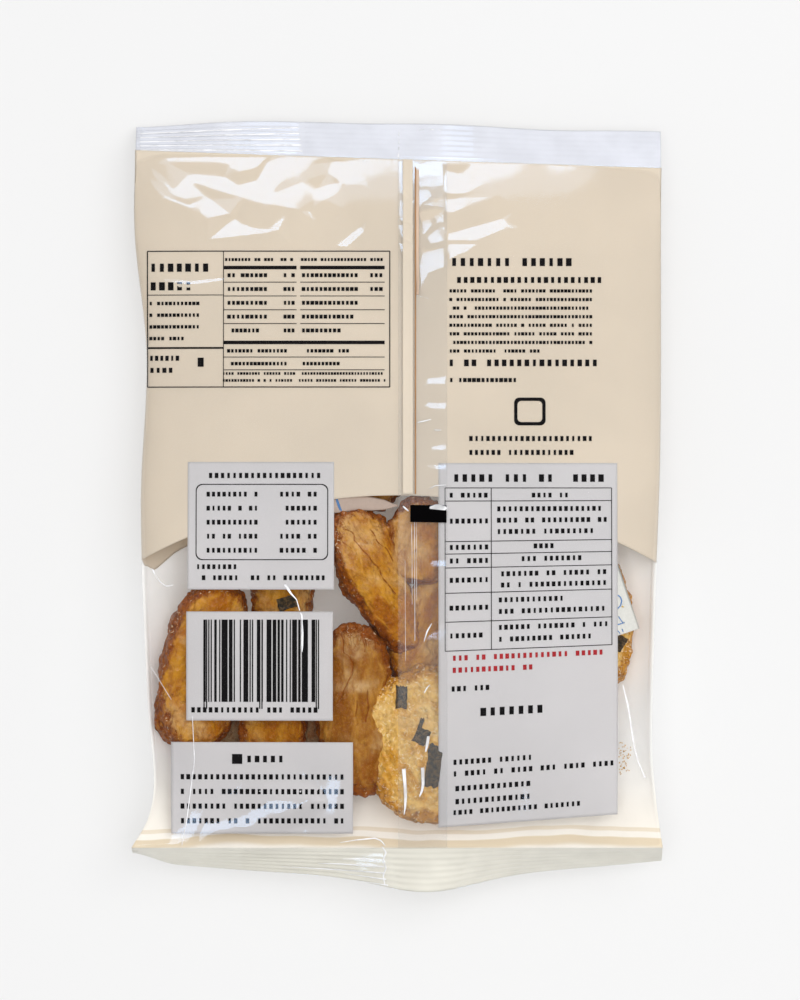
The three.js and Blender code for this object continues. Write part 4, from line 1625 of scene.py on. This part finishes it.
# The folded tip of another packet, as x, lower edge and upper edge.
PACKET_TIP = ((0.3, 0.1, 0.4), (-0.9, -0.1, 0.7), (-3.4, -0.9, 1.9), (-6.7, -1.1, 2.6), (-11, -1.0, 3.3),
              (-17.1, -1.8, 4.6), (-26, -2.4, 6.4))
PACKET_GAP = 1.2
CRUMB_PATCHES = ((62.4, -69.0, 3.4, 8.6, 60, 0.26, 3),)
# Strokes as x, y and half width along each: painted highlights on the film, white lines that stand in for its
# reflections, and print on the packets.
FILM_HIGHLIGHT_STROKES = (
    ((3.94, -4.79, 0.04), (4.1, -14.64, 0.05), (4.1, -26.68, 0.03)),
    ((4.76, -3.69, 0.05), (4.87, -36.53, 0.05)),
    ((5.28, -4.24, 0.03), (5.36, -25.58, 0.04)),
    ((2.19, -14.64, 0.03), (2.3, -42, 0.04)),
    ((-70.59, 102.46, 0.15), (-48.43, 103.39, 0.21), (-27.09, 104.1, 0.21)),
    ((-70.59, 101.29, 0.15), (-48.43, 101.98, 0.21), (-26.81, 102.46, 0.21)),
    ((-70.59, 100.11, 0.15), (-48.43, 100.58, 0.21), (-26.54, 100.82, 0.21)),
    ((-70.59, 98.93, 0.15), (-48.43, 99.17, 0.21), (-26.27, 99.18, 0.21)),
    ((-70.59, 97.76, 0.15), (-48.43, 97.76, 0.21), (-25.99, 97.54, 0.21)),
    ((-21.61, -97.68, 0.05), (-15.6, -97.81, 0.16), (-3.56, -98.5, 0.27)),
    ((-15.05, -96.44, 0.05), (-9.58, -96.33, 0.22), (-5.2, -96.85, 0.14)),
    ((-32.01, -98.63, 0.05), (-21.07, -99.18, 0.14), (-3.56, -100.27, 0.19)),
    ((-14.23, -100.55, 0.05), (-3.01, -102.05, 0.19)),
    ((-12.31, -102.33, 0.05), (-2.46, -103.69, 0.16)),
    ((0.49, 103.01, 0.08), (0.49, 101.64, 0.15)),
    ((0.52, 100.82, 0.08), (0.49, 99.45, 0.15)),
    ((0.49, 98.63, 0.14), (0.44, 97.81, 0.11)),
    ((0.38, 96.99, 0.16), (0.33, 95.62, 0.22)),
    ((6.16, 103.39, 0.14), (7.39, 103.45, 0.11)),
    ((9.03, 103.56, 0.14), (10.12, 103.48, 0.16)),
    ((11.35, 103.45, 0.14), (11.9, 103.34, 0.14)),
    ((-11.76, 95.19, 0.22), (-11.33, 95.24, 0.22)),
    ((-9.3, 94.67, 0.33), (-8.48, 94.64, 0.22)),
    ((8.34, -0.57, 0.11), (9.3, -0.25, 0.55), (10.94, -0.14, 0.82), (13.68, -0.52, 0.68)),
    ((-55.81, -57.05, 0.08), (-55.54, -62.52, 0.12), (-55.27, -69.36, 0.15), (-56.36, -77.57, 0.16),
     (-57.46, -85.77, 0.16), (-58.82, -92.61, 0.08)),
    ((-67.31, -43.64, 0.05), (-64.84, -47.47, 0.09), (-61.56, -52.67, 0.05)),
    ((-66.81, -16.99, 0.16), (-66.48, -17.92, 0.25), (-66.07, -18.63, 0.11)),
    ((-66.21, -18.47, 0.07), (-64.57, -20.66, 0.11), (-62.93, -21.75, 0.16), (-61.07, -21.37, 0.08)),
    ((1.81, -71.44, 0.52), (2.13, -75.38, 0.44), (2.33, -79.07, 0.41), (2.19, -81.94, 0.27),
     (1.92, -84.02, 0.11)),
    ((6.95, -71.11, 0.49), (7.11, -75.65, 0.41), (6.73, -77.57, 0.33), (6.13, -79.07, 0.14)),
    ((8.54, -62.52, 0.36), (8.21, -64.71, 0.44), (7.8, -66.79, 0.19)),
    ((-30.75, -21.15, 0.36), (-29.82, -22.3, 0.38), (-29, -23.61, 0.27), (-27.41, -25.31, 0.14),
     (-26.54, -28.32, 0.14)),
    ((-26.4, -28.86, 0.14), (-25.99, -29.52, 0.27), (-25.83, -31.6, 0.11), (-25.77, -34.34, 0.3),
     (-25.83, -37.89, 0.27), (-25.86, -39.64, 0.08)),
    ((61.56, -48.56, 0.12), (62.11, -50.75, 0.16), (62.93, -54.04, 0.25), (63.56, -57.59, 0.2),
     (64.02, -61.15, 0.22), (64.84, -66.07, 0.19), (65.94, -69.9, 0.19), (66.9, -72.09, 0.11),
     (67.72, -74.01, 0.27)),
    ((7.39, -50.75, 0.11), (8.07, -49.38, 0.16), (8.95, -48.56, 0.08)),
    ((-4.1, -92.89, 0.14), (-3.01, -94.53, 0.22), (-3.83, -96.72, 0.19), (-3.01, -98.91, 0.22),
     (-3.83, -101.1, 0.19), (-3.28, -103.83, 0.14)),
    ((-15.6, -91.79, 0.08), (-11.49, -91.11, 0.16), (-6.02, -90.56, 0.22), (-4.38, -91.25, 0.19),
     (-3.28, -92.61, 0.16)),
    ((7.33, -36.72, 0.08), (8.21, -33.95, 0.22), (9.47, -31.82, 0.08)),
    ((9.03, 4.9, 0.08), (10.4, 5.75, 0.14), (13.41, 5.88, 0.16)),
    ((5.58, 22.98, 0.11), (7.39, 23.39, 0.19), (9.3, 23.83, 0.08)),
    ((10.12, 20.93, 0.08), (11.22, 20.88, 0.16), (12.04, 20.93, 0.08)),
    ((1.64, 0.14, 0.14), (2.33, -0.55, 0.27), (3.15, -1.23, 0.14)),
)
BLUE_STROKES = (
    ((59.1, -23.83, 0.14), (59.86, -24.1, 0.16), (60.85, -24.49, 0.18), (61.34, -25.64, 0.18),
     (60.99, -27.03, 0.18), (60, -28.02, 0.16), (59.1, -28.59, 0.14)),
    ((60.44, -29.96, 0.14), (61.01, -30.92, 0.15), (61.67, -31.79, 0.14)),
    ((59.1, -32.42, 0.14), (60.47, -32.15, 0.16), (62.11, -31.63, 0.14)),
    ((60.14, -33.79, 0.14), (60.85, -34.61, 0.14)),
    ((61.34, -33.35, 0.14), (61.72, -34.23, 0.14)),
    ((-16.5, 2.05, 0.36), (-15.87, 0.14, 0.36), (-15.18, -1.5, 0.3)),
)
GOLD_STROKES = (
    ((61.34, -27.17, 0.22), (61.78, -27.44, 0.22)),
)


def make_packet_tip(material):
    """The flat folded tip of a second packet."""
    stations = np.array(PACKET_TIP)[::-1]
    x = np.linspace(stations[0, 0], stations[-1, 0], 40)
    low, high = np.interp(x, stations[:, 0], stations[:, 1]), np.interp(x, stations[:, 0], stations[:, 2])
    b = np.linspace(0, 1, 14)[:, None]
    y = mix(low, high, b) + SHIFT_Y
    wide = np.broadcast_to(x, y.shape)
    swell = 0.5 * np.sin(b * math.pi) ** 0.5 * ease(0.5, -6, wide)
    wrinkle = 0.25 * Grain(29).at(np.stack((wide, y, y * 0), -1), 3.0)
    top = back_height(wide, y) - PACKET_GAP + swell + wrinkle
    return sheet_of("packet_tip", np.stack((wide, y, top), -1), 0.6, material)


def strokes_tree():
    """Round strokes along paths whose points carry their own half width."""
    t = Tree("Strokes", (("Sides", "NodeSocketInt", 8), MATERIAL_INPUT), takes_mesh=True)
    curve = t.add("GeometryNodeMeshToCurve", None, Mesh=t.given["Geometry"]).outputs[0]
    weight = t.add("GeometryNodeInputNamedAttribute", {"data_type": "FLOAT"}, Name="weight").outputs[0]
    round_profile = t.add("GeometryNodeCurvePrimitiveCircle", None, Resolution=t.given["Sides"], Radius=1.0)
    tube = t.add(
        "GeometryNodeCurveToMesh", None, Curve=curve, Profile_Curve=round_profile.outputs[0], Scale=weight,
        Fill_Caps=True,
    )
    return t.finish(tube.outputs[0])


def make_strokes(name, lines, trees, material, flat=0.3):
    """Strokes laid on what is under them, pressed nearly flat."""
    points, edges, weights = [], [], []
    for line in lines:
        stations = np.array(line)
        way = np.concatenate(([0], np.cumsum(np.hypot(*np.diff(stations[:, :2], axis=0).T))))
        at = np.linspace(0, way[-1], max(4, round(way[-1] / 0.5)))
        start = len(points)
        for x, y, w in np.stack([np.interp(at, way, stations[:, k]) for k in range(3)], -1):
            points.append((x, y + SHIFT_Y, 0))
            weights.append(w)
        edges += [(i, i + 1) for i in range(start, len(points) - 1)]
    tubes, faces = strokes_tree().grow(base=(points, edges, weights))
    for point in tubes:
        start = Vector((point[0] * MM, point[1] * MM, 0.08))
        hits = [tree.ray_cast(start, Vector((0, 0, -1)))[0] for tree in trees]
        tops = [hit.z / MM for hit in hits if hit]
        point[2] = point[2] * flat + (max(tops) if tops else 20.0)
    return new_piece(name, tubes, faces, material)


def surfaces(*pieces):
    trees = []
    for mesh in (piece.data for piece in pieces):
        places, faces = [v.co for v in mesh.vertices], [f.vertices for f in mesh.polygons]
        trees.append(BVHTree.FromPolygons(places, faces))
    return trees


def make_sachet(material):
    """A flat drying sachet: a soft pillow of paper with flat sealed ends."""
    columns, rows = 36, 46
    a, b = np.meshgrid(np.linspace(-1, 1, columns), np.linspace(-1, 1, rows))
    swell = 1.1 * np.clip(1 - np.abs(a) ** 3, 0, 1) * np.clip(1 - (np.abs(b) / 0.86) ** 4, 0, 1)
    wrinkle = 0.3 * Grain(3).at(np.stack((a * 12, b * 16, a * 0), -1), 5.0) * np.clip(1 - b**6, 0, 1)
    shapes = []
    for side in (1, -1):
        z = side * (swell + 0.12) + wrinkle
        flat = np.stack((a * SACHET["width"] / 2, b * SACHET["length"] / 2, z), -1).reshape(-1, 3)
        shapes.append(turned(flat, SACHET["heading"] - 90, 3, 8))
    count = columns * rows
    top = grid_quads(rows, columns)
    bottom = grid_quads(rows, columns, count)[:, ::-1]
    rim = np.concatenate((
        np.arange(columns), np.arange(1, rows) * columns + columns - 1,
        (rows - 1) * columns + np.arange(columns - 1)[::-1], np.arange(1, rows - 1)[::-1] * columns,
    ))
    after = np.roll(rim, -1)
    walls = np.stack((rim, rim + count, after + count, after), -1)
    points = np.concatenate(shapes) + (SACHET["x"], SACHET["y"] + SHIFT_Y, SACHET["height"])
    return new_piece("sachet", keep_inside(points, 0.5), np.concatenate((top, bottom, walls)), material)


def make_crumbs(material):
    tree = crumbs_tree()
    shapes = []
    for x, y, wide, long, count, size, seed in CRUMB_PATCHES:
        points, faces = tree.grow(Count=count, Wide=wide * MM, Long=long * MM, Size=size * MM, Seed=seed)
        points += (x, y + SHIFT_Y, 0)
        points[:, 2] += lining_height(points[:, 0], points[:, 1]) + size * 0.6 + 0.2
        shapes.append((points, faces))
    points, faces = join_shapes(shapes)
    piece = new_piece("crumbs", points, faces, material)
    for label in ("side", "hollow"):
        piece.data.attributes.new(label, "FLOAT", "POINT")
    own = (points * MM).astype(np.float32).ravel()
    piece.data.attributes.new("own", "FLOAT_VECTOR", "POINT").data.foreach_set("vector", own)
    return piece


# ---------------------------------------------------------------- settings and operators


def colour_property(name, description, screen):
    return bpy.props.FloatVectorProperty(
        name=name, description=description, subtype="COLOR", size=4, min=0, max=1, default=linear(*screen)
    )


class BagColours(bpy.types.PropertyGroup):
    """Colours of the bag's print and contents."""

    cream: colour_property("Cream", "Printed field of the upper bag", (240, 229, 212))
    panel: colour_property("Panel", "Grey panels behind the printed rows", (229, 227, 228))
    ink: colour_property("Ink", "Dark print", (28, 26, 28))
    red_ink: colour_property("Red ink", "Red print", (200, 60, 66))
    lining: colour_property("Lining", "Inside of the front film", (251, 251, 249))
    band: colour_property("Band", "Tan band by the bottom seal", (216, 201, 176))
    top_web: colour_property("Top seal", "Welded film of the top seal", (232, 234, 242))
    bottom_web: colour_property("Bottom seal", "Welded film of the bottom seal", (241, 238, 227))
    glazed_top: colour_property("Amber", "Glazed tops of the crackers", (170, 98, 0))
    glazed_pale: colour_property("Pale amber", "Lightest glazed dough", (204, 143, 38))
    matt_top: colour_property("Dry top", "Tops with little glaze", (136, 78, 2))
    matt_pale: colour_property("Pale dry top", "Lightest dry dough", (186, 132, 52))
    wet_top: colour_property("Wet top", "Tops under thick yellow glaze", (216, 152, 40))
    wet_pale: colour_property("Pale wet top", "Lightest dough under thick glaze", (242, 198, 112))
    # Painted shade: the crust of the deep crackers is darkened to stand for the shade in the gaps.
    shade_darkened_top: colour_property("Crust darkened as painted shade", "Crust of the deep crackers", (84, 42, 10))
    shade_darkened_pale: colour_property("Crust darkened as painted shade, pale", "Paler crust of the deep crackers", (116, 66, 22))
    cracker_brown: colour_property("Brown crust", "Baked sides", (146, 74, 8))
    cracker_dark: colour_property("Dark crust", "Cracks and scorched spots", (92, 38, 4))
    nori: colour_property("Seaweed", "Seaweed flakes", (40, 36, 26))
    paper: colour_property("Paper", "Drying sachet", (222, 221, 214))
    packet: colour_property("Packet", "Tip of the second packet", (182, 162, 148))
    blue_ink: colour_property("Blue ink", "Strokes on the packets", (110, 152, 208))
    gold_ink: colour_property("Gold ink", "Dot on the sachet", (232, 200, 110))


class BagSizes(bpy.types.PropertyGroup):
    """Sizes of the studio around the bag."""

    camera_height: bpy.props.FloatProperty(
        name="Camera height", description="Height of the camera over the table", default=3.0, unit="LENGTH"
    )
    view_height: bpy.props.FloatProperty(
        name="View height", description="Length of the table that the picture takes in", default=0.2736,
        unit="LENGTH",
    )
    floor_size: bpy.props.FloatProperty(
        name="Floor size", description="Side of the square floor", default=6.0, unit="LENGTH"
    )


class BAG_OT_stage(bpy.types.Operator):
    """Lay the floor, hang the lights and set the camera over the bag"""

    bl_idname = "bag.stage"
    bl_label = "Stage"

    def execute(self, context):
        sizes = context.scene.bag_sizes
        half = sizes.floor_size / 2 / MM
        corners = ((-half, -half, -0.1), (half, -half, -0.1), (half, half, -0.1), (-half, half, -0.1))
        new_piece("floor", corners, [(0, 1, 2, 3)], floor_material(), smooth=False)
        world = bpy.data.worlds.new("Soft white room")
        world.use_nodes = True
        context.scene.world = world
        room = world.node_tree
        background = room.nodes["Background"]
        background.inputs[0].default_value = (1, 1, 1, 1)
        ray = room.nodes.new("ShaderNodeLightPath").outputs["Is Glossy Ray"]
        dimmed = room.nodes.new("ShaderNodeMapRange")
        dimmed.inputs["To Min"].default_value = ROOM_LIGHT
        dimmed.inputs["To Max"].default_value = ROOM_GLOSS
        room.links.new(ray, dimmed.inputs["Value"])
        room.links.new(dimmed.outputs[0], background.inputs["Strength"])
        for softbox in SOFTBOXES:
            add_softbox(*softbox)
        camera = bpy.data.objects.new("camera", bpy.data.cameras.new("camera"))
        camera.data.sensor_fit = "VERTICAL"
        camera.data.sensor_height = 36
        camera.data.lens = 36 * (sizes.camera_height - VIEW_PLANE * MM) / sizes.view_height
        camera.data.clip_start, camera.data.clip_end = 0.05, 20
        camera.location = (0.8 * MM, (1.8 + SHIFT_Y) * MM, sizes.camera_height)
        context.scene.collection.objects.link(camera)
        context.scene.camera = camera
        context.scene.view_settings.view_transform = "Standard"
        return {"FINISHED"}


def add_softbox(name, azimuth, zenith, away, width, height, radiance, gloss):
    """Hangs a softbox that faces the bag. One seen in the gloss alone throws no light on matt faces."""
    light = bpy.data.lights.new(name, "AREA")
    light.shape = "RECTANGLE"
    light.size, light.size_y = width, height
    light.energy = radiance * math.pi * width * height
    light.color = GLOSS_TINT if gloss else (1, 1, 1)
    lamp = bpy.data.objects.new(name, light)
    way = Vector(way_to(azimuth, zenith))
    lamp.location = way * away
    lamp.rotation_euler = (-way).to_track_quat("-Z", "Y").to_euler()
    lamp.visible_diffuse = not gloss
    lamp.visible_glossy = gloss
    lamp.visible_transmission = False
    lamp.visible_camera = False
    bpy.context.scene.collection.objects.link(lamp)
    return lamp


class BAG_OT_film(bpy.types.Operator):
    """Make the clear film that closes the bag"""

    bl_idname = "bag.film"
    bl_label = "Film"

    def execute(self, context):
        film = film_material("Clear film", 0.002, 1.1, (0.9, 0.9, 0.92, 1))
        settle(make_film(film), "film", "bag")
        return {"FINISHED"}


class BAG_OT_fields(bpy.types.Operator):
    """Print the cream field, the lining and the webs of the two seals"""

    bl_idname = "bag.fields"
    bl_label = "Printed fields"

    def execute(self, context):
        colours = context.scene.bag_colours
        settle(make_cream_field(print_material("Cream print", tuple(colours.cream), 0.96)), "print")
        settle(make_lining(lining_material(colours)), "print")
        top = web_material("Top seal web", tuple(colours.top_web), 0.93)
        bottom = web_material("Bottom seal web", tuple(colours.bottom_web), 0.85)
        settle(make_seal_web("top_web", TOP_SEAL, top), "film")
        settle(make_seal_web("bottom_web", BOTTOM_SEAL, bottom), "film")
        return {"FINISHED"}


class BAG_OT_panels(bpy.types.Operator):
    """Print the grey panels"""

    bl_idname = "bag.panels"
    bl_label = "Panels"

    def execute(self, context):
        material = print_material("Grey panel print", tuple(context.scene.bag_colours.panel), 0.97)
        for panel in PANELS:
            settle(make_panel(*panel, material), "label")
        return {"FINISHED"}


class BAG_OT_marks(bpy.types.Operator):
    """Print rows of plain blocks, rules, rings and bars"""

    bl_idname = "bag.marks"
    bl_label = "Printed marks"

    def execute(self, context):
        colours = context.scene.bag_colours
        ink = print_material("Dark ink", tuple(colours.ink), 0.8, 4.0)
        red = print_material("Red ink", tuple(colours.red_ink), 0.85, 4.0)
        marks, rules = marks_tree(), rules_tree()
        settle(flat_print("text_blocks", text_shapes(marks, TEXT_ROWS, 100), ink), "ink")
        settle(flat_print("red_blocks", text_shapes(marks, RED_ROWS, 900), red), "ink")
        settle(flat_print("rules", rule_shapes(rules), ink), "ink")
        settle(flat_print("rings", ring_shapes(), ink), "ink")
        settle(flat_print("upright_bars", bar_shapes(marks), ink), "ink")
        return {"FINISHED"}


class BAG_OT_seam(bpy.types.Operator):
    """Fold the back seam over to the right, with its strip of print and its eye mark"""

    bl_idname = "bag.seam"
    bl_label = "Back seam"

    def execute(self, context):
        colours = context.scene.bag_colours
        film = film_material("Seam film", 0.035, 0.6, (0.9, 0.9, 0.9, 1))
        rows = [row for row in film_rows(420, 5) if row[0] is None]
        grid = fin_grid(np.linspace(0, 1, 44), rows, fin_lift)
        settle(sheet_of("seam", grid, 0.12, film), "film")
        cream = print_material("Seam cream print", tuple(colours.cream), 0.97)
        start = float(arch(np.array(3.0)))
        printed = [(seal, s) for seal, s in rows if seal is None and s > start]
        strip = fin_grid(np.linspace(0.09, 0.3, 8), printed, fin_lift)
        settle(sheet_of("seam_print", inset(strip, -0.06), PRINT_THICK, cream), "print")
        for name, left, right, bottom, top, screen in SEAM_LINES:
            ends = along_at(5.0, bottom + SHIFT_Y), along_at(5.0, top + SHIFT_Y)
            level = [(None, t) for t in np.linspace(*ends, 150)]
            places = np.linspace((left - FIN_LEFT) / FIN_WIDTH, (right - FIN_LEFT) / FIN_WIDTH, 3)
            line = fin_grid(places, level, fin_lift)
            tan = print_material(name, linear(*screen), 0.9, 8.0)
            settle(sheet_of(name.lower().replace(" ", "_"), inset(line, -0.08), PRINT_THICK, tan), "print")
        ink = print_material("Seam ink", tuple(c * 0.3 for c in colours.ink[:3]) + (1.0,), 0.8, 4.0)
        bottom, top = (EYE_MARK[k] + SHIFT_Y for k in ("bottom", "top"))
        inked = [(None, s) for s in np.linspace(along_at(8.0, bottom), along_at(8.0, top), 12)]
        left, right = ((EYE_MARK[k] - FIN_LEFT) / FIN_WIDTH for k in ("left", "right"))
        mark = fin_grid(np.linspace(left, min(right, 0.985), 16), inked, fin_lift)
        settle(sheet_of("eye_mark", inset(mark, -0.06), PRINT_THICK, ink), "ink")
        return {"FINISHED"}


class BAG_OT_crackers(bpy.types.Operator):
    """Bake the crackers, each an uneven puffed slab, with seaweed on some"""

    bl_idname = "bag.crackers"
    bl_label = "Crackers"

    def execute(self, context):
        colours = context.scene.bag_colours
        crusts = {crust: cracker_material(colours, crust) for crust in CRUSTS}
        crackers = [make_cracker(spec, crusts) for spec in CRACKERS]
        for cracker in crackers:
            settle(cracker, "cracker")
        settle(make_flakes(nori_material(colours), crackers), "nori")
        settle(make_crumbs(crusts["wet"]), "cracker")
        return {"FINISHED"}


class BAG_OT_sachet(bpy.types.Operator):
    """Put in the drying sachet and the tip of the second packet, with plain strokes printed on them"""

    bl_idname = "bag.sachet"
    bl_label = "Drying sachet"

    def execute(self, context):
        colours = context.scene.bag_colours
        sachet = settle(make_sachet(paper_material("Sachet paper", tuple(colours.paper))), "paper")
        tip = settle(make_packet_tip(paper_material("Packet film", tuple(colours.packet))), "paper")
        under = surfaces(sachet, tip)
        blue = print_material("Blue ink", tuple(colours.blue_ink), 0.9, 4.0)
        gold = print_material("Gold ink", tuple(colours.gold_ink), 0.9, 4.0)
        settle(make_strokes("sachet_strokes", BLUE_STROKES, under, blue), "ink")
        settle(make_strokes("sachet_dot", GOLD_STROKES, under, gold), "ink")
        return {"FINISHED"}


class BAG_OT_highlight_strokes(bpy.types.Operator):
    """Lay painted highlights on the film: fine white strokes that stand in for its reflections"""

    bl_idname = "bag.creases"
    bl_label = "Painted highlights"

    def execute(self, context):
        skin = surfaces(bpy.data.objects["film"], bpy.data.objects["seam"])
        # The strokes are painted highlights, laid on the film and the seam.
        settle(make_strokes("creases", FILM_HIGHLIGHT_STROKES, skin, highlight_stroke_material(), 0.2), "film")
        return {"FINISHED"}


OPERATORS = (
    BAG_OT_stage, BAG_OT_film, BAG_OT_fields, BAG_OT_panels, BAG_OT_marks, BAG_OT_seam,
    BAG_OT_crackers, BAG_OT_sachet, BAG_OT_highlight_strokes,
)


class BAG_PT_panel(bpy.types.Panel):
    """Lists the bag's pieces in the sidebar"""

    bl_label = "Rice cracker bag"
    bl_idname = "BAG_PT_panel"
    bl_space_type = "VIEW_3D"
    bl_region_type = "UI"
    bl_category = "Bag"

    def draw(self, context):
        for operator in OPERATORS:
            self.layout.operator(operator.bl_idname)
        for group in (context.scene.bag_sizes, context.scene.bag_colours):
            for name in group.__annotations__:
                self.layout.prop(group, name)


CLASSES = (BagColours, BagSizes, *OPERATORS, BAG_PT_panel)


def register():
    for cls in CLASSES:
        bpy.utils.register_class(cls)
    bpy.types.Scene.bag_colours = bpy.props.PointerProperty(type=BagColours)
    bpy.types.Scene.bag_sizes = bpy.props.PointerProperty(type=BagSizes)


def unregister():
    del bpy.types.Scene.bag_sizes
    del bpy.types.Scene.bag_colours
    for cls in reversed(CLASSES):
        bpy.utils.unregister_class(cls)


def main():
    register()
    bpy.ops.bag.stage()
    bpy.ops.bag.film()
    bpy.ops.bag.fields()
    bpy.ops.bag.panels()
    bpy.ops.bag.marks()
    bpy.ops.bag.seam()
    bpy.ops.bag.crackers()
    bpy.ops.bag.sachet()
    bpy.ops.bag.creases()


if __name__ == "__main__":
    main()
